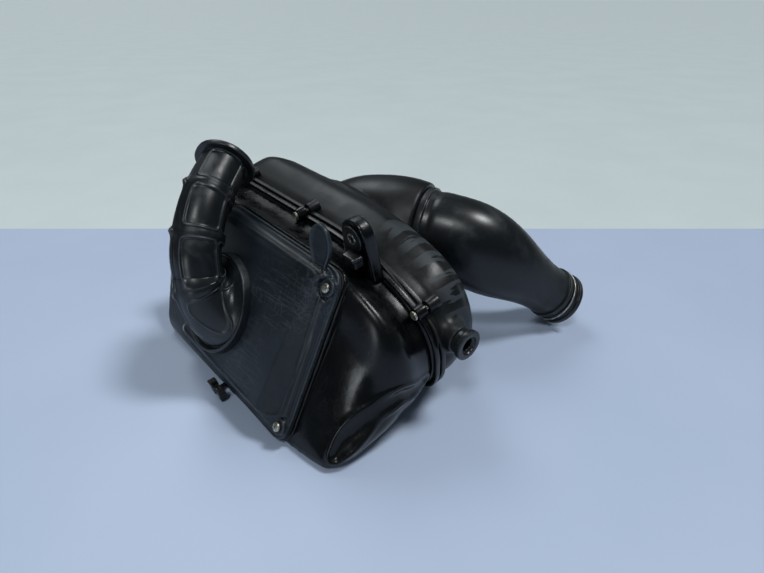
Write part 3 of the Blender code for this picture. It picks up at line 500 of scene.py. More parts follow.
def smooth_points(points, per_span):
    """Catmull-Rom points between given ones."""
    points = [Vector(p) for p in points]
    padded = [2 * points[0] - points[1]] + points + [2 * points[-1] - points[-2]]
    result = []
    for i in range(1, len(padded) - 2):
        a, b, c, d = padded[i - 1 : i + 3]
        for k in range(per_span):
            t = k / per_span
            bend = (2 * a - 5 * b + 4 * c - d) * t**2 + (3 * b - a - 3 * c + d) * t**3
            result.append(0.5 * (2 * b + (c - a) * t + bend))
    return result + [points[-1]]


class Path:
    """A centre line with frames carried along it without twist, read by distance from its start."""

    def __init__(self, points, first_aim, across):
        points = [Vector(p) for p in points]
        self.distance, self.points, self.across, self.other = [0.0], [], [], []
        across = Vector(across)
        for i, point in enumerate(points):
            aim = (points[min(i + 1, len(points) - 1)] - points[max(i - 1, 0)]).normalized()
            aim = Vector(first_aim).normalized() if i == 0 else aim
            across = (across - aim * across.dot(aim)).normalized()
            self.points.append(point)
            self.across.append(across)
            self.other.append(aim.cross(across))
            if i:
                self.distance.append(self.distance[-1] + (point - points[i - 1]).length)
        self.length = self.distance[-1]
        self.points, self.across, self.other = (np.array(v) for v in (self.points, self.across, self.other))

    def read(self, rows, at):
        return np.stack([np.interp(at, self.distance, rows[:, k]) for k in range(3)], axis=-1)

    def tube(self, distances, radii, around):
        """Points of rings at distances, with radii for each ring and angle."""
        distances = np.asarray(distances)
        turn = angles(around)
        frames = (self.points, self.across, self.other)
        centre, across, other = (self.read(rows, distances)[:, None] for rows in frames)
        spoke = across * np.cos(turn)[None, :, None] + other * np.sin(turn)[None, :, None]
        return (centre + np.asarray(radii)[..., None] * spoke).reshape(-1, 3)


# ---------------------------------------------------------------------------------------------
# Materials


class Finish:
    """A material's node tree, built step by step on the object's own coordinates."""

    def __init__(self, name, roughness=0.5, **constants):
        self.name, self.material = name, bpy.data.materials.new(name)
        self.material.use_nodes = True
        self.tree = self.material.node_tree
        self.shader = self.tree.nodes["Principled BSDF"]
        self.shader.inputs["Roughness"].default_value = roughness
        for socket, value in constants.items():
            self.shader.inputs[socket.replace("_", " ")].default_value = value
        self.place = self.node("ShaderNodeTexCoord").outputs["Object"]
        self.geometry = self.node("ShaderNodeNewGeometry").outputs

    def node(self, kind, **settings):
        made = self.tree.nodes.new(kind)
        for key, value in settings.items():
            setattr(made, key, value)
        return made

    def feed(self, node, **inputs):
        for socket, value in inputs.items():
            key = int(socket[1:]) if socket[1:].isdigit() else socket.replace("_", " ")
            target = node.inputs[key]
            if isinstance(value, bpy.types.NodeSocket):
                self.tree.links.new(value, target)
            else:
                target.default_value = value
        return node

    def stretched(self, scale, turn=(0.0, 0.0, 0.0)):
        node = self.feed(self.node("ShaderNodeMapping"), Vector=self.place, Scale=scale, Rotation=turn)
        return node.outputs["Vector"]

    def noise(self, scale, detail=3.0, rough=0.55, distort=0.0, place=None):
        node = self.node("ShaderNodeTexNoise")
        place = self.place if place is None else place
        self.feed(node, Vector=place, Scale=scale, Detail=detail, Roughness=rough, Distortion=distort)
        return node.outputs["Fac"]

    def spread(self, value, low, high, to_low=0.0, to_high=1.0):
        """value's stretch from low to high, taken smoothly to another one."""
        node = self.node("ShaderNodeMapRange", interpolation_type="SMOOTHSTEP")
        self.feed(node, _0=value, _1=low, _2=high, _3=to_low, _4=to_high)
        return node.outputs[0]

    def math(self, operation, a, b=0.0):
        return self.feed(self.node("ShaderNodeMath", operation=operation), _0=a, _1=b).outputs[0]

    def times(self, a, b):
        return self.math("MULTIPLY", a, b)

    def plus(self, a, b):
        return self.math("ADD", a, b)

    def hairlines(self, scale, width, place=None, distort=0.6):
        """Thin curved lines where a noise crosses its middle value."""
        off = self.math("ABSOLUTE", self.math("SUBTRACT", self.noise(scale, 2.0, 0.4, distort, place), 0.5))
        return self.spread(off, width, 0.0)

    def blend(self, share, a, b):
        node = self.node("ShaderNodeMix", data_type="RGBA")
        self.tree.links.new(share, node.inputs[0])
        for socket, value in ((node.inputs[6], a), (node.inputs[7], b)):
            if isinstance(value, bpy.types.NodeSocket):
                self.tree.links.new(value, socket)
            else:
                socket.default_value = (*value, 1.0)
        return node.outputs[2]

    def mottle(self, scale, dark, pale, low=0.3, high=0.7):
        return self.blend(self.spread(self.noise(scale), low, high), dark, pale)

    def film(self, color, share, most, tint):
        """The colour with a tint over it, as far as share says, and most of it at the thickest."""
        return self.blend(self.times(share, most), color, tint)

    def upward(self, low=0.2, high=0.95):
        """How far the surface faces up, for dust that settles."""
        split = self.feed(self.node("ShaderNodeSeparateXYZ"), Vector=self.geometry["Normal"])
        return self.spread(split.outputs["Z"], low, high)

    def edges(self, low=0.52, high=0.60):
        """Convex edges: for wear, and for painted highlights on the cover and the ducts."""
        return self.spread(self.geometry["Pointiness"], low, high)

    def bump(self, height, strength, distance, under=None):
        node = self.feed(self.node("ShaderNodeBump"), Strength=strength, Distance=distance, Height=height)
        if under is not None:
            self.tree.links.new(under, node.inputs["Normal"])
        return node.outputs["Normal"]

    def done(self, color=None, roughness=None, normal=None):
        for value, socket in ((color, "Base Color"), (roughness, "Roughness"), (normal, "Normal")):
            if value is not None:
                self.tree.links.new(value, self.shader.inputs[socket])
        return self


def gloss_plastic():
    """Smooth black moulding: faint orange peel, fine scratches and a little dust on top."""
    f = Finish("gloss_plastic", Specular_IOR_Level=0.36)
    straight = f.hairlines(80.0, 0.010, f.stretched((1.0, 0.06, 0.5), (0.3, 0.7, 0.2)), 0.0)
    scratch = f.times(straight, f.spread(f.noise(9.0), 0.48, 0.66))
    dust = f.times(f.upward(0.35, 0.98), f.spread(f.noise(55.0, 6.0, 0.7), 0.42, 0.68))
    color = f.mottle(14.0, (0.0012, 0.0018, 0.0022), (0.0026, 0.0034, 0.0040), 0.35, 0.7)
    color = f.film(color, dust, 0.05, (0.20, 0.21, 0.21))
    color = f.film(color, scratch, 0.08, (0.16, 0.17, 0.18))
    rough = f.spread(f.noise(22.0, 4.0), 0.3, 0.75, 0.17, 0.29)
    rough = f.plus(rough, f.times(dust, 0.22))
    normal = f.bump(f.noise(95.0, 2.0), 0.10, 0.0015)
    return f.done(color, rough, f.bump(scratch, 0.08, 0.0002, normal))


def dusty_plastic():
    """The rear half: black moulding with a film of dust and pale rubbed streaks down its shoulder."""
    f = Finish("case_plastic", Specular_IOR_Level=0.34)
    across = f.feed(f.node("ShaderNodeSeparateXYZ"), Vector=f.place).outputs
    turn = f.math("ARCTAN2", f.math("SUBTRACT", across["Z"], 0.080), f.math("SUBTRACT", across["X"], 0.105))
    round_it = f.feed(f.node("ShaderNodeCombineXYZ"), X=f.times(turn, 9.0), Y=f.times(across["Y"], 12.0))
    bands = f.noise(1.0, 2.0, 0.5, 0.2, round_it.outputs["Vector"])
    streaks = f.spread(f.plus(bands, f.times(f.noise(260.0, 3.0), 0.07)), 0.535, 0.565)
    shoulder = f.times(f.spread(across["X"], 0.050, 0.095), f.spread(across["Z"], 0.090, 0.135))
    reach = f.times(f.spread(across["Y"], -0.055, -0.035), f.spread(across["Y"], 0.055, 0.025))
    streaks = f.times(streaks, f.times(shoulder, reach))
    dust = f.times(f.upward(-0.1, 0.9), f.spread(f.noise(28.0, 7.0, 0.7), 0.30, 0.72))
    color = f.mottle(9.0, (0.0030, 0.0038, 0.0044), (0.0060, 0.0072, 0.0080))
    color = f.film(color, dust, 0.06, (0.17, 0.18, 0.18))
    color = f.film(color, streaks, 0.20, (0.17, 0.21, 0.24))
    color = f.film(color, f.edges(), 0.10, (0.14, 0.15, 0.15))
    rough = f.plus(f.spread(f.noise(16.0, 5.0), 0.3, 0.7, 0.26, 0.42), f.times(streaks, 0.18))
    rough = f.plus(rough, f.times(dust, 0.12))
    return f.done(color, rough, f.bump(f.noise(420.0, 2.0), 0.15, 0.0003))


def cover_plastic():
    """Satin black moulding with a blue-grey haze of fine, mostly straight scratches, and a painted highlight
    of paler blue-grey along its convex edges.
    """
    f = Finish("cover_plastic", Specular_IOR_Level=0.40)
    fine = f.hairlines(150.0, 0.030, f.stretched((0.05, 1.0, 1.0), (0.5, 0.2, 0.6)), 0.0)
    cross = f.hairlines(130.0, 0.026, f.stretched((1.0, 0.06, 0.7), (0.1, 0.9, 0.2)), 0.0)
    long = f.hairlines(70.0, 0.010, f.stretched((0.05, 0.9, 0.9), (0.2, 0.5, 1.5)), 0.0)
    worn = f.spread(f.noise(14.0, 4.0), 0.44, 0.64)
    lines = f.times(f.math("MAXIMUM", long, f.math("MAXIMUM", fine, cross)), worn)
    haze = f.times(f.spread(f.noise(18.0, 6.0, 0.65), 0.40, 0.72), f.upward(-0.3, 0.9))
    color = f.mottle(8.0, (0.0055, 0.0085, 0.0115), (0.0110, 0.0155, 0.0200))
    color = f.film(color, haze, 0.15, (0.085, 0.120, 0.150))
    color = f.film(color, lines, 0.13, (0.20, 0.25, 0.29))
    # painted highlight: convex edges and the rounded rim are painted paler blue-grey, standing in for the
    # light they catch
    color = f.film(color, f.edges(0.51, 0.57), 0.22, (0.16, 0.20, 0.23))
    rough = f.spread(f.noise(30.0, 4.0), 0.3, 0.7, 0.30, 0.46)
    rough = f.plus(rough, f.times(lines, 0.14))
    normal = f.bump(f.noise(240.0, 3.0), 0.12, 0.0003)
    return f.done(color, rough, f.bump(lines, 0.15, 0.0003, normal))


def duct_rubber():
    """Smooth black rubber, duller in patches, with specks of grit and a painted highlight of pale blue-grey
    along its convex edges.
    """
    f = Finish("duct_rubber")
    grit = f.spread(f.noise(170.0, 3.0, 0.7), 0.66, 0.76)
    grime = f.spread(f.noise(20.0, 6.0, 0.7, 0.4), 0.44, 0.70)
    color = f.mottle(11.0, (0.0035, 0.0050, 0.0064), (0.0085, 0.0110, 0.0130))
    film = f.times(grime, f.times(f.upward(-0.2, 0.9), 0.12))
    color = f.blend(film, color, (0.12, 0.145, 0.16))
    # painted highlight: convex edges, such as the foot's lip and the bands, are painted pale blue-grey
    color = f.film(color, f.edges(0.515, 0.565), 0.42, (0.15, 0.175, 0.19))
    color = f.film(color, grit, 0.18, (0.16, 0.16, 0.155))
    rough = f.spread(grime, 0.0, 1.0, 0.30, 0.50)
    normal = f.bump(f.noise(300.0, 3.0), 0.14, 0.0003)
    return f.done(color, rough, f.bump(f.noise(45.0, 2.0), 0.10, 0.001, normal))


def plain(name, dark, pale, mottle, gloss, rough, grain):
    """Two mottled colours: the scales of the mottle and of the gloss, the roughnesses and the grain."""
    f = Finish(name)
    color = f.blend(f.spread(f.noise(*mottle), 0.3, 0.7), dark, pale)
    scale, strength, distance = grain
    normal = f.bump(f.noise(scale), strength, distance)
    return f.done(color, f.spread(f.noise(gloss), 0.3, 0.7, *rough), normal)


def seal_rubber():
    dark, pale = (0.010, 0.010, 0.011), (0.024, 0.024, 0.024)
    return plain("seal_rubber", dark, pale, (60.0,), 90.0, (0.60, 0.80), (500.0, 0.3, 0.0003))


def element_rubber():
    """The element's moulded polyurethane rim."""
    dark, pale = (0.055, 0.056, 0.060), (0.090, 0.090, 0.094)
    return plain("element_frame", dark, pale, (30.0, 4.0), 80.0, (0.55, 0.72), (380.0, 0.25, 0.0004))


def clip_plastic():
    f = Finish("clip_plastic")
    color = f.mottle(40.0, (0.006, 0.0065, 0.007), (0.016, 0.017, 0.018), 0.35, 0.7)
    color = f.film(color, f.edges(), 0.15, (0.12, 0.125, 0.13))
    return f.done(color, f.spread(f.noise(60.0), 0.3, 0.7, 0.22, 0.38), f.bump(f.noise(350.0), 0.12, 0.0003))


def zinc():
    """Zinc-plated steel, yellowed, with brown spots."""
    f = Finish("zinc_screws", Metallic=1.0)
    rust = f.spread(f.noise(420.0, 5.0, 0.7), 0.52, 0.66)
    color = f.mottle(160.0, (0.62, 0.58, 0.47), (0.44, 0.42, 0.35), 0.35, 0.65)
    color = f.film(color, rust, 0.55, (0.16, 0.10, 0.055))
    rough = f.plus(f.spread(f.noise(260.0), 0.3, 0.7, 0.26, 0.44), f.times(rust, 0.25))
    return f.done(color, rough, f.bump(f.noise(700.0, 3.0), 0.2, 0.0002))


def steel():
    """Plain steel with turning marks and a light tarnish."""
    f = Finish("bare_steel", Metallic=1.0)
    marks = f.noise(900.0, 2.0)
    color = f.blend(f.spread(f.noise(120.0, 5.0), 0.4, 0.68), (0.58, 0.58, 0.56), (0.34, 0.31, 0.26))
    return f.done(color, f.spread(marks, 0.3, 0.7, 0.22, 0.42), f.bump(marks, 0.15, 0.0001))


def paper():
    """Filter paper: warm fibre with grey patches of caught dust."""
    f = Finish("filter_paper", Sheen_Weight=0.2)
    fibres = f.noise(650.0, 4.0, 0.7, place=f.stretched((1.0, 0.25, 1.0)))
    color = f.blend(f.spread(fibres, 0.35, 0.65), (0.62, 0.50, 0.30), (0.74, 0.64, 0.44))
    color = f.film(color, f.spread(f.noise(45.0, 5.0), 0.42, 0.70), 0.45, (0.30, 0.27, 0.21))
    return f.done(color, f.spread(fibres, 0.3, 0.7, 0.85, 0.97), f.bump(fibres, 0.35, 0.0003))


# ---------------------------------------------------------------------------------------------
# Case halves


def case_corners(left, right, bottom, top, cut_x, cut_z, sink):
    """The case's five corners, clockwise: chamfered upper right, slanted left side, sunk left end."""
    height = top - bottom
    return [
        (left, top),
        (right - cut_x, top),
        (right, top - cut_z),
        (right - 0.05 * height, bottom),
        (left + 0.42 * height, bottom - sink),
    ]


def section_distance(x, z, left, right, bottom, top, cut_x, cut_z, radius, sink):
    corners = case_corners(left, right, bottom, top, cut_x, cut_z, sink)
    return convex(x, z, corners, np.maximum(CORNER_BLEND * radius, 0.0008))


def case_distance(x, y, z, sections):
    stations, *columns = np.array(sections).T
    return section_distance(x, z, *(through(stations, c, y.ravel())[None, :, None] for c in columns))


def seam_distance(x, z):
    return section_distance(x, z, *SEAM_SECTION)


def seam_screw_places():
    """Points round the seam, outside the body's outline, as (x, z)."""
    left, right, bottom, top, cut_x, cut_z, _, sink = SEAM_SECTION
    places = []
    for side, share, out in SEAM_SCREWS:
        corners = case_corners(left - out, right + out, bottom - out, top + out, cut_x, cut_z, sink)
        first, second = Vector(corners[side]), Vector(corners[(side + 1) % 5])
        places.append(first.lerp(second, share))
    return places


def seam_matrix(x, z, y=0.0):
    """A frame on the seam at (x, z) whose own Z points to the front."""
    return shift(x, y, z) @ Matrix.Rotation(radians(90), 4, "X")


def aimed(origin, aim):
    """A frame at a point whose own Z points along an aim."""
    return Matrix.Translation(origin) @ Vector(aim).to_track_quat("Z", "Y").to_matrix().to_4x4()


def round_seam(profile, soft, around=420):
    """A closed band round the case, from a profile of (distance outside the seam's outline, y)."""
    outline = fillet(profile, soft, 3)
    turn = angles(around)
    left, right, bottom, top = SEAM_SECTION[:4]
    middle_x, middle_z = (left + right) / 2, (bottom + top) / 2
    toward_x, toward_z = np.cos(turn) * (right - left), np.sin(turn) * (top - bottom)
    outs = np.array([p.x for p in outline])[:, None]
    near, far = np.zeros((len(outline), around)), np.ones((len(outline), around))
    for _ in range(HALVINGS):
        share = (near + far) / 2
        inside = seam_distance(middle_x + share * toward_x, middle_z + share * toward_z) < outs
        near, far = np.where(inside, share, near), np.where(inside, far, share)
    x, z = middle_x + near * toward_x, middle_z + near * toward_z
    y = np.broadcast_to(np.array([p.y for p in outline])[:, None], x.shape)
    return np.stack([x, y, z], axis=-1).reshape(-1, 3), ring_faces(len(outline), around)


def seam_bores(field, low):
    for x, z in seam_screw_places():
        field.cut(rod(seam_matrix(x, z), SHANK_RADIUS + GAP, low, 0.03), 0.0004)


def bosses(low, high, bore_low):
    """Round bosses along the seam's frames from low to high, with the screws' bores up to the top."""
    bore, blind = SHANK_RADIUS + GAP, bore_low > low
    profile = [(AXIS if blind else bore, low), (BOSS_RADIUS, low), (BOSS_RADIUS - 0.0007, high), (bore, high)]
    if blind:
        profile += [(bore, bore_low), (AXIS, bore_low)]
    part = turned(profile, 0.0007, 40)
    return [moved(part, seam_matrix(x, z)) for x, z in seam_screw_places()]


def ear_distance(x, y, z):
    """A leaf-shaped plate: a half disc on a foot that widens downwards."""
    across, up = x - EAR_X, z - EAR_Z
    disc = np.sqrt(across**2 + up**2) - EAR_RADIUS
    foot = np.abs(across) - EAR_RADIUS + np.minimum(up, 0) * 0.09
    outline = np.maximum(np.where(up > 0, disc, foot), -up - EAR_FOOT)
    return smooth_max(outline, np.abs(y - EAR_Y) - EAR_THICK / 2, 0.0035)


def cover_outline(x, u, shrink=0.0, lean=0.0):
    """Distance outside the cover's outline on its seat."""
    half_x, up, down = COVER_HALF_X - shrink, COVER_UP - shrink, COVER_DOWN - shrink - lean
    slant = COVER_FLARE / (COVER_UP + COVER_DOWN)
    side = np.abs(x) - half_x - slant * (COVER_UP - u)
    soft = CORNER_BLEND * COVER_CORNER
    return smooth_max(smooth_max(side, u - up, soft), -u - down, soft)


def trough_distance(x, y, z):
    """Distance to the row of balls that scoops out the recess."""
    return balls(x, y, z, zip(*filled_in(RECESS, 50)))


def front_body():
    """The front half's smooth body with the recess along its lower right edge."""
    field = Field((-0.428, -0.182, -0.010), (0.040, 0.004, 0.200), CASE_STEP)
    x, y, z = field.grid()
    body = case_distance(x, y, z, FRONT_SECTIONS)
    field.hold(smooth_max(body, FRONT_SECTIONS[0][0] - y, 0.006))
    field.even_out()
    trough = Shape(trough_distance, RECESS_MIDDLE, RECESS_REACH)
    spans = field.window(trough, 0.006)
    inside = trough.distance(*field.grid(spans))
    rim = smooth_max(inside - RECESS_RIM_WIDTH, field.values[spans] - RECESS_RIM_HEIGHT, 0.003)
    rimmed = smooth_min(field.values[spans], rim, RECESS_SOFT)
    field.values[spans] = smooth_max(rimmed, -inside, RECESS_SOFT)
    field.hollow(SHELL)
    field.values = np.maximum(field.values, y + SEAM_GAP)
    tray_space = (TRAY_HALF_X + 0.001, TRAY_HALF_Y + 0.001, TRAY_DEPTH + 0.012)
    field.cut(block(SEAT_IN_CASE, tray_space), 0.0005)
    seam_bores(field, -0.01)
    plug = aimed(PLUG_CENTRE, PLUG_AIM)
    field.cut(rod(plug, PLUG_RADIUS + GAP, -PLUG_DEPTH - GAP, 0.02), 0.0006)
    return field.surface()


def ear_plate():
    field = Field((-0.122, -0.028, 0.140), (-0.056, 0.003, 0.222), 0.0009)
    field.join(Shape(ear_distance, Vector((EAR_X, EAR_Y, EAR_Z - 0.013)), 0.050), 0.0001)
    field.cut(rod(seam_matrix(EAR_X, EAR_Z, EAR_Y), EAR_HOLE, -0.02, 0.02), 0.0018)
    return field.surface()


def seat():
    """The pad under the cover with the element's tray, its window, and posts for the cover's screws."""
    half_x, half_y, deep = TRAY_HALF_X, TRAY_HALF_Y, TRAY_DEPTH
    field = Field((-0.126, -0.108, -0.034), (0.126, 0.098, 0.004), SEAT_STEP)
    x, y, z = field.grid()
    field.hold(rounded([cover_outline(x, y, -0.0014), z, -0.007 - z], 0.0010))
    wall = (half_x + WALL, half_y + WALL, deep / 2 + WALL / 2)
    field.join(block(shift(0, 0, -deep / 2 - WALL / 2), wall, 0.001), 0.002)
    for x0, y0 in COVER_SCREWS:
        field.join(rod(shift(x0, y0, 0), LUG_RADIUS - 0.001, -0.020, 0.0), 0.002)
    field.cut(block(Matrix.Identity(4), (half_x, half_y, deep), 0.001), 0.0008)
    window = (half_x - TRAY_LEDGE, half_y - TRAY_LEDGE, 0.012)
    field.cut(block(shift(0, 0, -deep - 0.004), window, 0.001), 0.0008)
    for x0, y0 in COVER_SCREWS:
        field.cut(rod(shift(x0, y0, 0), SHANK_RADIUS + GAP, -0.0175, 0.010), 0.0004)
    return moved(field.surface(), SEAT_IN_CASE)


def front_shell(finish):
    edge, out = -SEAM_GAP - FLANGE_THICK, FLANGE_OUT
    plate = [(-WALL, -SEAM_GAP), (out, -SEAM_GAP), (out, edge - 0.0022), (out - 0.0032, edge - 0.0022),
             (out - 0.0036, edge), (0.0028, edge), (0.0012, edge - 0.0030), (-WALL, edge - 0.0040)]
    parts = [front_body(), ear_plate(), seat(), round_seam(plate, 0.0014)]
    parts += bosses(SEAM_GAP + 0.001, BOSS_FRONT, SEAM_GAP)
    piece("front_shell", parts, finish, "case", ["front_case"], crease=60)


def neck_distance(x, y, z):
    """A bulb along the neck's path, cut flat at its end."""
    points = smooth_points(NECK_PATH, 6)
    radii = filled_in(np.transpose([NECK_RADII]), len(points))[0]
    distance = balls(x, y, z, [(*point, radius) for point, radius in zip(points, radii)])
    end, aim = Vector(NECK_PATH[-1]), BOOT_START_AIM
    past = (x - end.x) * aim.x + (y - end.y) * aim.y + (z - end.z) * aim.z
    return smooth_max(distance, past, 0.004)


def rear_body():
    field = Field((-0.428, -0.004, -0.004), (0.022, 0.208, 0.198), CASE_STEP)
    x, y, z = field.grid()
    body = case_distance(x, y, z, REAR_SECTIONS)
    field.hold(smooth_max(body, y - REAR_SECTIONS[-1][0], 0.014))
    field.even_out()
    neck = Shape(neck_distance, Vector((-0.205, 0.118, 0.097)), 0.115)
    field.join(neck, 0.026)
    peg = aimed((0.0, PEG_Y, PEG_Z), (1, 0, 0))
    field.join(rod(peg, PEG_RADIUS - 0.001, -0.02, PEG_SEAT_X), 0.010)
    field.hollow(SHELL)
    field.values = np.maximum(field.values, SEAM_GAP - y)
    seam_bores(field, -0.013)
    mouth = aimed(NECK_PATH[-1], BOOT_START_AIM)
    field.cut(rod(mouth, NECK_RADII[-1] - SHELL, -0.016, 0.02), 0.001)
    return field.surface()


def rear_shell(finish):
    edge, out = SEAM_GAP + FLANGE_THICK, FLANGE_OUT
    plate = [(-WALL, SEAM_GAP), (-WALL, edge), (out - 0.0024, edge), (out - 0.0024, edge + 0.0016),
             (out, edge + 0.0016), (out, SEAM_GAP)]
    parts = [rear_body(), round_seam(plate, 0.0012)]
    parts += bosses(-BOSS_REAR, -SEAM_GAP - 0.001, -0.0132)
    piece("rear_shell", parts, finish, "case", ["rear_case"], crease=60)


# ---------------------------------------------------------------------------------------------
# Cover, in the seat's frame


def cover_top(x, u):
    """Height of the cover's top: a flat field with crisp edges, falling away towards the rim."""
    out = convex(x, u, COVER_FIELD, 0.0015)
    fall = COVER_FIELD_RISE * (1 - smooth_max(out, 0 * out, 0.0015) / COVER_FIELD_FALL)
    return COVER_HEIGHT + np.maximum(fall, -COVER_FIELD_DROP) + 0.0006


def cover_distance(x, y, z):
    lean = COVER_SKIRT * np.clip((z - COVER_BASE) / (COVER_HEIGHT - COVER_BASE), 0, 1)
    rim = rounded([cover_outline(x, y), COVER_BASE - z, z - COVER_BASE - 0.0042], 0.0008)
    wall = cover_outline(x, y, 0.0032, lean) + 0.10 * (z - COVER_BASE)
    bowl = smooth_max(smooth_max(wall, z - cover_top(x, y), 0.005), COVER_BASE - z, 0.0005)
    return rim, bowl


def tab_distance(x, y, z):
    """The finger tab: an oval blade on a stem, dished on its outer side."""
    a, up, h = local(TAB_FRAME, x, y, z)
    half, reach = TAB_WIDTH / 2, TAB_BLADE_HALF
    middle = TAB_HEIGHT - reach
    blade = (np.sqrt((a / half) ** 2 + ((up - middle) / reach) ** 2) - 1) * half
    stem = smooth_max(np.abs(a) - 0.010 + 0.12 * up, up - middle, 0.002)
    outline = smooth_min(blade, stem, 0.008)
    dish = 0.0018 * np.clip((-outline - 0.0016) / 0.0015, 0, 1)
    return rounded([outline, -up - 0.004, -h, h - TAB_THICK + dish], 0.0012)


def cover_shell(finish):
    field = Field((-0.130, -0.112, -0.004), (0.130, 0.130, 0.064), SEAT_STEP)
    x, y, z = field.grid()
    rim, bowl = cover_distance(x, y, z)
    for x0, y0 in COVER_SCREWS:
        beside = x0 + (0.006 if x0 > 0 else -0.006)
        for centre, radius in ((x0, LUG_RADIUS), (beside, LUG_RADIUS + 0.0035)):
            notch = rod(shift(centre, y0, 0), radius, COVER_SCREW_SEAT - 0.003, 0.06, 0.001)
            bowl = smooth_max(bowl, -notch.distance(x, y, z), 0.003)
    inner = np.maximum(bowl + WALL, COVER_BASE - z - 0.004)
    step_line = np.abs(cover_outline(x, y, 0.0105, COVER_SKIRT)) - 0.0009
    bead = smooth_max(step_line, np.abs(z - cover_top(x, y)) - 0.0009, 0.001)
    field.values = smooth_min(smooth_min(rim, bowl, 0.0015).astype(np.float32), bead, 0.0012)
    for x0, y0 in COVER_SCREWS:
        field.join(rod(shift(x0, y0, 0), LUG_RADIUS, COVER_BASE, COVER_SCREW_SEAT, 0.0012), 0.0025)
    inlet = shift(INLET_X, INLET_Y, 0)
    field.join(rod(inlet, INLET_RADIUS + WALL, COVER_HEIGHT - 0.001, COVER_HEIGHT + 0.009), 0.0015)
    field.hold(np.maximum(field.values, -inner))
    for x0, y0 in COVER_SCREWS:
        at = shift(x0, y0, 0)
        field.join(rod(at, LUG_RADIUS, COVER_BASE, COVER_SCREW_SEAT, 0.0008), 0.0015)
        field.cut(rod(at, LUG_RADIUS - 0.0008, COVER_SCREW_SEAT, 0.04, 0.0003), 0.0015)
        field.cut(rod(at, SHANK_RADIUS + GAP, -0.01, 0.03), 0.0003)
    field.cut(rod(inlet, INLET_RADIUS, 0.0, 0.05), 0.0008)
    field.join(Shape(tab_distance, TAB_FRAME @ Vector((0, TAB_HEIGHT / 2, 0)), 0.034), 0.003)
    moulded("cover_shell", field, finish, "cover", ["filter_cover"], SEAT)


# ---------------------------------------------------------------------------------------------
# Ducts


def eased(start, end, share):
    share = np.clip(share, 0, 1)
    return start + (end - start) * (3 * share**2 - 2 * share**3)


def bell(value, width):
    return np.exp(-((value / width) ** 2))


def elbow_frames():
    """Rings' centres, aims and radii outside and inside, with the distance along the elbow."""
    way, height, tilt, outside, inside = filled_in(ELBOW_ROOT, ELBOW_ROOT_RINGS)
    centres, aims = [], []
    for w, h, t in zip(way, height, np.radians(tilt)):
        centres.append(ELBOW_FOOT + ELBOW_WAY * w + Vector((0, 0, h)))
        aims.append(ELBOW_WAY * sin(t) + Vector((0, 0, cos(t))))
    knots = [centres[-1]] + [ELBOW_FOOT + Vector(p) for p in ELBOW_PATH]
    tube = smooth_points(knots, ELBOW_TUBE_RINGS)
    for i, point in enumerate(tube[1:], 1):
        centres.append(point)
        aims.append((tube[min(i + 1, len(tube) - 1)] - tube[i - 1]).normalized())
    outside = np.concatenate([outside, np.full(len(tube) - 1, ELBOW_RADIUS)])
    inside = np.concatenate([inside, np.full(len(tube) - 1, ELBOW_RADIUS - ELBOW_WALL)])
    steps = [ELBOW_FOOT_THICK] + [(b - a).length for a, b in zip(centres, centres[1:])]
    return centres, aims, outside, inside, np.cumsum(steps)


def elbow_rings(centres, aims, radii, across=ELBOW_PANEL_AIM):
    """Rings of points about centres, turned no more than their aims turn, from a side across them."""
    turn = angles(ELBOW_AROUND)
    rings = []
    for centre, aim, radius in zip(centres, aims, radii):
        across = (across - aim * across.dot(aim)).normalized()
        other = aim.cross(across)
        spoke = np.outer(np.cos(turn), across) + np.outer(np.sin(turn), other)
        rings.append(np.array(centre) + np.asarray(radius)[..., None] * spoke)
    return rings


def wrap(angle):
    return (angle + pi) % (2 * pi) - pi


def elbow_relief(s, turn):
    """Height of the surface over the plain tube at a distance: framed panels, a parting rib, lugs."""
    height = np.zeros(turn.shape)
    for middle, depth in ELBOW_PANEL_ROWS:
        across = np.abs(wrap(turn - middle)) * ELBOW_RADIUS
        for low, high in ELBOW_PANELS:
            wide = ELBOW_RADIUS * ELBOW_PANEL_HALF
            if high < 0.045:
                wide *= np.clip(0.25 + (s - low) / (high - low), 0.25, 1.0)
            out = smooth_max(abs(s - (low + high) / 2) - (high - low) / 2 + 0 * across, across - wide, 0.006)
            height -= depth * np.clip(-out / 0.0022, 0, 1)
            height += ELBOW_FRAME * bell(out - 0.0002, 0.0008)
    ridge = wrap(turn - ELBOW_PARTING) * ELBOW_RADIUS
    on = np.clip((s - 0.018) / 0.010, 0, 1)
    lines = bell(ridge - ELBOW_PARTING_HALF, 0.0008) + bell(ridge + ELBOW_PARTING_HALF, 0.0008)
    height += on * ELBOW_PARTING_HEIGHT * lines
    for (_, low), (high, _) in zip(ELBOW_PANELS, ELBOW_PANELS[1:]):
        band, half = (low + high) / 2, (high - low) / 2
        height += ELBOW_LUG * bell(ridge, 0.0030) * bell(s - band, 0.0040)
        height += ELBOW_BAND * bell(s - band, half * 0.8)
    return height


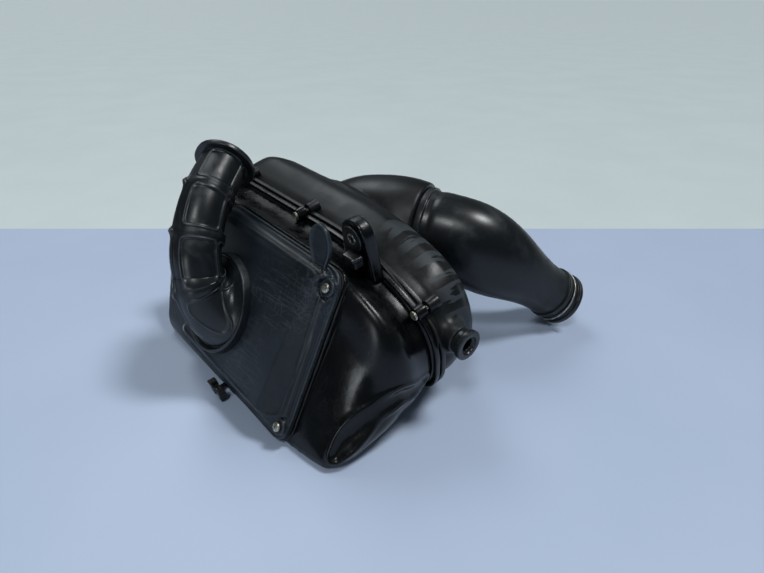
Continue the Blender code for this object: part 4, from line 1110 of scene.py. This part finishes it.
def inlet_elbow(finish):
    centres, aims, outside, inside, distance = elbow_frames()
    end, turn, plain_ring = distance[-1], angles(ELBOW_AROUND), np.ones(ELBOW_AROUND)
    spigot, foot, thick = INLET_RADIUS + WALL + GAP, ELBOW_FOOT_RADIUS, ELBOW_FOOT_THICK
    collar = [(0.0385, 0.0064), (spigot, 0.0060), (spigot, 0.0), (foot, 0.0), (foot - 0.0012, thick + 0.0030),
              (foot - 0.0050, thick + 0.0030), (foot - 0.0062, thick - 0.0016), (0.0480, thick - 0.0010)]
    up = Vector((0, 0, 1))
    rings = []
    for p in fillet(collar, 0.0026, 6)[7:-7]:
        rings += elbow_rings([ELBOW_FOOT + up * p.y], [up], [p.x * plain_ring])
    rim_start = end - ELBOW_RIM_THICK
    last = int(np.searchsorted(distance, rim_start))
    outer = [r + elbow_relief(s, turn) for r, s in zip(outside[:last], distance[:last])]
    rings += elbow_rings(centres[:last], aims[:last], outer)
    tube, bore, rim = ELBOW_RADIUS, ELBOW_RADIUS - ELBOW_WALL, ELBOW_RIM_RADIUS
    mouth = [(tube, rim_start - 0.001), (tube, rim_start), (rim, rim_start), (rim, end), (rim - 0.0040, end),
             (rim - 0.0044, end - 0.0014), (bore, end - 0.0014), (bore, end - 0.012)]
    across = Vector(elbow_rings(centres, aims, outside)[-1][0] - np.array(centres[-1])).normalized()
    for p in fillet(mouth, 0.0013, 4)[5:-5]:
        rings += elbow_rings([centres[-1] + aims[-1] * (p.y - end)], [aims[-1]], [p.x * plain_ring], across)
    inner = elbow_rings(centres, aims, [r * plain_ring for r in inside])
    rings += [inner[k] for k in range(last, ELBOW_INNER_FIRST, -ELBOW_INNER_STEP)]
    part = (np.concatenate(rings), ring_faces(len(rings), ELBOW_AROUND))
    piece("inlet_duct", [part], finish, "cover", ["inlet_elbow"], SEAT, crease=70)


def boot_path():
    a, d = BOOT_START, BOOT_END
    b, c = a + BOOT_START_AIM * BOOT_REACH_START, d - BOOT_END_AIM * BOOT_REACH_END
    points = []
    for k in range(61):
        t = k / 60
        s = 1 - t
        points.append(s**3 * a + 3 * s**2 * t * b + 3 * s * t**2 * c + t**3 * d)
    return Path(points, BOOT_START_AIM, (0, 0, 1))


def boot_radius(share):
    return eased(BOOT_RADIUS, BOOT_END_RADIUS, (share - BOOT_TAPER_FROM) / BOOT_TAPER_SHARE)


def outlet_boot(finish):
    """Cuff, tapering bend with soft swellings, and an end collar with two beads round a groove."""
    path = boot_path()
    end, cuff = path.length, BOOT_CUFF
    turn = angles(BOOT_AROUND)[None, :]
    distances, radii = [], []

    def ring(distance, radius):
        distances.append(distance)
        radii.append(np.broadcast_to(radius, (1, BOOT_AROUND)))

    start = BOOT_RADIUS
    lip = [(0.0, start - BOOT_WALL), (0.0, start + BOOT_BEAD), (cuff, start + BOOT_BEAD), (cuff, start),
           (cuff + 0.006, start)]
    for p in fillet(lip, 0.0014)[5:-5]:
        ring(p.x, p.y)
    for s in np.linspace(cuff + 0.004, end - BOOT_COLLAR, BOOT_RINGS):
        swell = 0.0009 * np.sin(2 * turn + 30 * s) * bell(s - 0.4 * end, 0.06)
        lower = np.maximum(np.cos(turn - BOOT_SWELL_TURN), 0) ** 2
        swell = swell + BOOT_SWELL * lower * bell(s - 0.50 * end, 0.055)
        fold = -0.0010 * bell(s - cuff - 0.006, 0.0035)
        seam = 0.0005 * bell(wrap(turn - 2.0) * BOOT_RADIUS, 0.0011)
        ring(s, boot_radius(s / end) + swell + fold + seam)
    radius = BOOT_END_RADIUS
    steps = [(end - 0.0285, radius)]
    for low, high in ((0.027, 0.022), (0.006, 0.0)):
        steps += [(end - low, radius), (end - low, radius + BOOT_BEAD), (end - high, radius + BOOT_BEAD)]
        steps += [(end - high, radius)] if high else []
    steps += [(end, radius - BOOT_WALL), (end - 0.01, radius - BOOT_WALL)]
    for p in fillet(steps, 0.0013)[5:-5]:
        ring(p.x, p.y)
    for s in np.linspace(end - 0.004, 0.0, BOOT_INNER_RINGS)[1:]:
        ring(s, boot_radius(s / end) - BOOT_WALL)
    points = path.tube(distances, np.concatenate(radii), BOOT_AROUND)
    part = (points, ring_faces(len(distances), BOOT_AROUND))
    piece("outlet_duct", [part], finish, "case", ["outlet_boot"], crease=70)


def wire_ring(finish):
    """The wire ring in the boot's groove: round wire with its ends butted."""
    bend, turn = angles(12)[:, None], angles(120)[None, :]
    reach = BOOT_END_RADIUS + 0.0020 + WIRE_RADIUS * np.cos(bend)
    height = WIRE_RADIUS * np.sin(bend) - WIRE_BACK + 0 * turn
    points = np.stack([reach * np.cos(turn), reach * np.sin(turn), height], axis=-1).reshape(-1, 3)
    matrix = TO_ROW @ aimed(BOOT_END, BOOT_END_AIM)
    piece("wire_ring", [(points, ring_faces(12, 120))], finish, "case", ["boot_wire_ring"], matrix)


# ---------------------------------------------------------------------------------------------
# Fasteners, grommets and small parts


def screw_mesh():
    """Points and quads of a pan-head screw with a cross recess, head on +Z over its seat at 0."""
    field = Field((-0.0065, -0.0065, -0.0255), (0.0065, 0.0065, 0.0045), SCREW_STEP)
    field.join(ellipsoid(Vector((0, 0, 0.0002)), Vector((0.0066, 0.0066, HEAD_HEIGHT))), 0.0001)
    field.cut(rod(Matrix.Identity(4), 0.02, -0.03, 0.0, 0.0001), 0.0002)
    x, y, z = field.grid()
    across = np.sqrt(x * x + y * y)
    field.hold(smooth_max(field.values, across - HEAD_RADIUS, 0.0010))
    thread = THREAD_HEIGHT * np.sin(2 * pi * z / THREAD_PITCH + np.arctan2(y, x))
    shank = rounded([across - SHANK_RADIUS + 0.0002 - thread, -SHANK_LENGTH - z, z - 0.001], 0.0004)
    field.hold(smooth_min(field.values, shank, 0.0003))
    for turn in (0.0, 90.0):
        slot = Matrix.Rotation(radians(turn), 4, "Z") @ shift(0, 0, HEAD_HEIGHT + 0.0005)
        field.cut(block(slot, (0.0024, 0.0005, 0.0022), 0.0002), 0.0003)
    return field.surface()


def screws(finish):
    part = screw_mesh()
    seats = []
    for i, (x, z) in enumerate(seam_screw_places(), 1):
        matrix = TO_ROW @ seam_matrix(x, z, -BOSS_FRONT - GAP)
        seats.append((f"seam_screw_{i}", matrix, "case", f"case_screw_{i}"))
    for i, (x, y) in enumerate(COVER_SCREWS, 1):
        matrix = SEAT @ shift(x, y, COVER_SCREW_SEAT + GAP)
        seats.append((f"lid_screw_{i}", matrix, "cover", f"cover_screw_{i}"))
    for i, (name, matrix, body, node) in enumerate(seats):
        turned_in = matrix @ Matrix.Rotation(radians(37 * i), 4, "Z")
        piece(name, [part], finish, body, [node], turned_in)


def grommets(rubber, metal):
    matrix = TO_ROW @ seam_matrix(EAR_X, EAR_Z, EAR_Y)
    half, lip = EAR_THICK / 2 + GAP + 0.0022, 0.0022
    inner, outer, groove = SLEEVE_RADIUS + GAP, EAR_HOLE + 0.0025, EAR_HOLE - GAP
    bush = [(inner, -half), (outer, -half), (outer, lip - half), (groove, lip - half),
            (groove, half - lip), (outer, half - lip), (outer, half), (inner, half)]
    piece("ear_bush", [turned(bush, 0.0009)], rubber, "case", ["ear_grommet"], matrix)
    half += GAP
    sleeve = [(SLEEVE_HOLE, -half), (SLEEVE_RADIUS, -half), (SLEEVE_RADIUS, half), (SLEEVE_HOLE, half)]
    piece("ear_bolt_sleeve", [turned(sleeve, 0.0004)], metal, "case", ["ear_sleeve"], matrix)
    matrix = TO_ROW @ aimed((PEG_SEAT_X + GAP + PEG_THICK / 2, PEG_Y, PEG_Z), (1, 0, 0))
    half, waist, rim, hole = PEG_THICK / 2, PEG_RADIUS - 0.0025, PEG_RADIUS, PEG_HOLE
    bush = [(hole, -half), (waist, -half), (waist, -0.001), (rim, 0.0005), (rim, half - 0.0006),
            (rim - 0.0012, half), (hole + 0.0030, half), (hole + 0.0024, half - 0.0022),
            (hole, half - 0.0034)]
    piece("peg_bush", [turned(bush, 0.0012)], rubber, "case", ["peg_grommet"], matrix)


def drain_bung(finish):
    """The rubber bung in the case's underside, with a bar to pull it by."""
    field = Field((-0.016, -0.016, -0.006), (0.016, 0.016, 0.008), PART_STEP)
    at = Matrix.Identity(4)
    field.join(rod(at, PLUG_RADIUS, -PLUG_DEPTH, 0.0012, 0.0008))
    field.cut(rod(at, PLUG_RADIUS - 0.003, 0.0004, 0.004, 0.0005), 0.0006)
    field.join(block(shift(0, 0, 0.0008), (0.0075, 0.0016, 0.0009), 0.0006), 0.001)
    matrix = TO_ROW @ aimed(PLUG_CENTRE, PLUG_AIM)
    moulded("drain_bung", field, finish, "plug", ["drain_plug"], matrix)


def clips(finish):
    """The hose clip under the front edge and the cable clip beside the ear's foot."""
    field = Field((-0.014, -0.007, -0.012), (0.014, 0.013, 0.012), PART_STEP)
    for place, half, soft in HOSE_CLIP:
        field.join(block(shift(*place), half, soft), 0.001)
    matrix = TO_ROW @ Matrix.Translation(CLIP_CENTRE) @ Matrix.Scale(CLIP_SCALE, 4)
    moulded("hose_holder", field, finish, "case", ["hose_clip"], matrix)
    field = Field((-0.013, -0.009, -0.009), (0.013, 0.009, 0.010), PART_STEP)
    body, slot, tongue = (block(shift(*place), half, soft) for place, half, soft in CABLE_CLIP)
    field.join(body, 0.001)
    field.cut(slot, 0.0012)
    field.join(tongue, 0.0015)
    matrix = TO_ROW @ Matrix.Translation(CABLE_CLIP_CENTRE)
    moulded("cable_holder", field, finish, "case", ["cable_clip"], matrix)


def element(paper_finish, rim_finish):
    """The element: a moulded rim with a sealing bead, round paper folded into pleats."""
    half_x, half_y = TRAY_HALF_X - 0.0004, TRAY_HALF_Y - 0.0004
    low, high = -TRAY_DEPTH + GAP, -0.003
    in_x, in_y = half_x - ELEMENT_RIM, half_y - ELEMENT_RIM
    field = Field((-0.096, -0.075, -0.028), (0.096, 0.075, 0.002), 0.0013)
    middle = shift(0, 0, (low + high) / 2)
    field.join(block(middle, (half_x, half_y, (high - low) / 2), 0.0015), 0.001)
    field.cut(block(middle, (in_x, in_y, 0.03), 0.003), 0.0025)
    x, y, z = field.grid()
    line = np.abs(np.maximum(np.abs(x) - half_x, np.abs(y) - half_y) + 0.0042) - 0.0012
    bead = rounded([line, high - z, z - high - 0.0012], 0.0006)
    field.hold(smooth_min(field.values, bead, 0.0015))
    moulded("element_rim", field, rim_finish, "element", ["filter_frame"], SEAT)
    pleats(in_x - 0.0004, in_y - 0.0004, low + 0.0022, high - 0.002, paper_finish)


def pleats(half_x, half_y, low, high, finish):
    """One sheet of paper folded to and fro, with a slight waver along each fold."""
    across, along, sheet = 12 * PLEATS, 40, 0.0009
    xs, ys = np.linspace(-half_x, half_x, across + 1), np.linspace(-half_y, half_y, along + 1)
    x, y = np.meshgrid(xs, ys, indexing="ij")
    phase = (x + half_x) / (2 * half_x) * PLEATS
    waver = 0.05 * np.sin(y * 190 + 1.7 * np.floor(phase)) * np.sin(pi * (x + half_x) / (2 * half_x))
    saw = np.abs(((phase + waver) % 1.0) * 2 - 1)
    fold = low + sheet + (high - low - sheet) * eased(0, 1, 0.06 + 0.88 * (1 - saw))
    top = np.stack([x, y, fold], axis=-1).reshape(-1, 3)
    bottom = np.stack([x, y, fold - sheet], axis=-1).reshape(-1, 3)
    count, width = len(top), along + 1
    faces = []
    for i in range(across):
        for j in range(along):
            a, b = i * width + j, (i + 1) * width + j
            faces.append((a, b, b + 1, a + 1))
            faces.append((count + a + 1, count + b + 1, count + b, count + a))
    edges = [(i * width + j, (i + 1) * width + j, j > 0) for i in range(across) for j in (0, along)]
    edges += [(i * width + j, i * width + j + 1, i == 0) for j in range(along) for i in (0, across)]
    for a, b, flip in edges:
        edge = (count + a, count + b, b, a)
        faces.append(edge[::-1] if flip else edge)
    points = np.concatenate([top, bottom])
    piece("pleated_paper", [(points, faces)], finish, "element", ["filter_media"], SEAT)


# ---------------------------------------------------------------------------------------------
# Stage


def floor_finish():
    """A pale table top that meets a pale grey-green floor along a straight edge."""
    f = Finish("table_top", roughness=0.42, Specular_IOR_Level=0.35)
    heading = radians(CAMERA_HEADING)
    ahead = (-sin(heading), cos(heading), 0.0)
    offset = CAMERA_PLACE[0] * ahead[0] + CAMERA_PLACE[1] * ahead[1]
    dot = f.feed(f.node("ShaderNodeVectorMath", operation="DOT_PRODUCT"), _0=f.place, _1=ahead)
    beyond = f.spread(dot.outputs["Value"], offset + TABLE_EDGE - 0.001, offset + TABLE_EDGE + 0.001)
    table = f.mottle(3.0, (0.53, 0.625, 0.81), (0.56, 0.655, 0.84))
    wall = f.mottle(4.0, (0.73, 0.81, 0.81), (0.76, 0.84, 0.84))
    return f.done(f.blend(beyond, table, wall), None, f.bump(f.noise(8.0), 0.05, 0.002))


def window(place, target, width, height, power, color):
    light = bpy.data.lights.new("window", "AREA")
    light.shape, light.size, light.size_y = "RECTANGLE", width, height
    light.energy, light.color = power, color
    obj = added("window", light)
    obj.location = place
    obj.rotation_euler = (Vector(place) - Vector(target)).to_track_quat("Z", "Y").to_euler()


def broad_light(name, heading, height, width, strength, color):
    """Light from a patch of sky: its heading and height over the floor, and its width, in degrees."""
    light = bpy.data.lights.new(name, "SUN")
    light.energy, light.angle, light.color = strength, radians(width), color
    obj = added(name, light)
    obj.rotation_euler = (radians(90 - height), 0.0, radians(heading + 90))


def stage():
    size = FLOOR_HALF
    mesh = bpy.data.meshes.new("floor")
    corners = [(-size, -size, 0), (size, -size, 0), (size, size, 0), (-size, size, 0)]
    mesh.from_pydata(corners, [], [(0, 1, 2, 3)])
    mesh.materials.append(floor_finish().material)
    floor = added("floor", mesh)
    world = bpy.data.worlds.new("studio")
    world.use_nodes = True
    background = world.node_tree.nodes["Background"]
    background.inputs["Color"].default_value = ROOM_COLOR
    background.inputs["Strength"].default_value = ROOM_STRENGTH
    bpy.context.scene.world = world
    bpy.context.scene.view_settings.view_transform = "Standard"
    for lamps in LAMPS:
        broad_light(*lamps)
    window(*WINDOW)
    camera = bpy.data.cameras.new("camera")
    camera.lens = CAMERA_LENS
    view = added("camera", camera)
    view.location = CAMERA_PLACE
    view.rotation_euler = (radians(90 - CAMERA_PITCH), 0.0, radians(CAMERA_HEADING))
    bpy.context.scene.camera = view


def carried_over(finishes):
    """Finishes for the CAD nodes that stay visible."""
    for name, finish in finishes.items():
        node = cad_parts[name]
        node.data.materials.clear()
        node.data.materials.append(finish.material)


def build():
    gloss, dusty, satin, rubber = gloss_plastic(), dusty_plastic(), cover_plastic(), duct_rubber()
    small, seal, plated, metal = clip_plastic(), seal_rubber(), zinc(), steel()
    paper_finish, rim_finish = paper(), element_rubber()
    front_shell(gloss)
    rear_shell(dusty)
    cover_shell(satin)
    inlet_elbow(rubber)
    outlet_boot(rubber)
    wire_ring(metal)
    screws(plated)
    grommets(rubber, metal)
    drain_bung(rubber)
    clips(small)
    element(paper_finish, rim_finish)
    carried_over({"case_seal": seal, "cover_seal": seal, "boot_retainer": dusty, "filter_screen": metal})
    stage()


build()
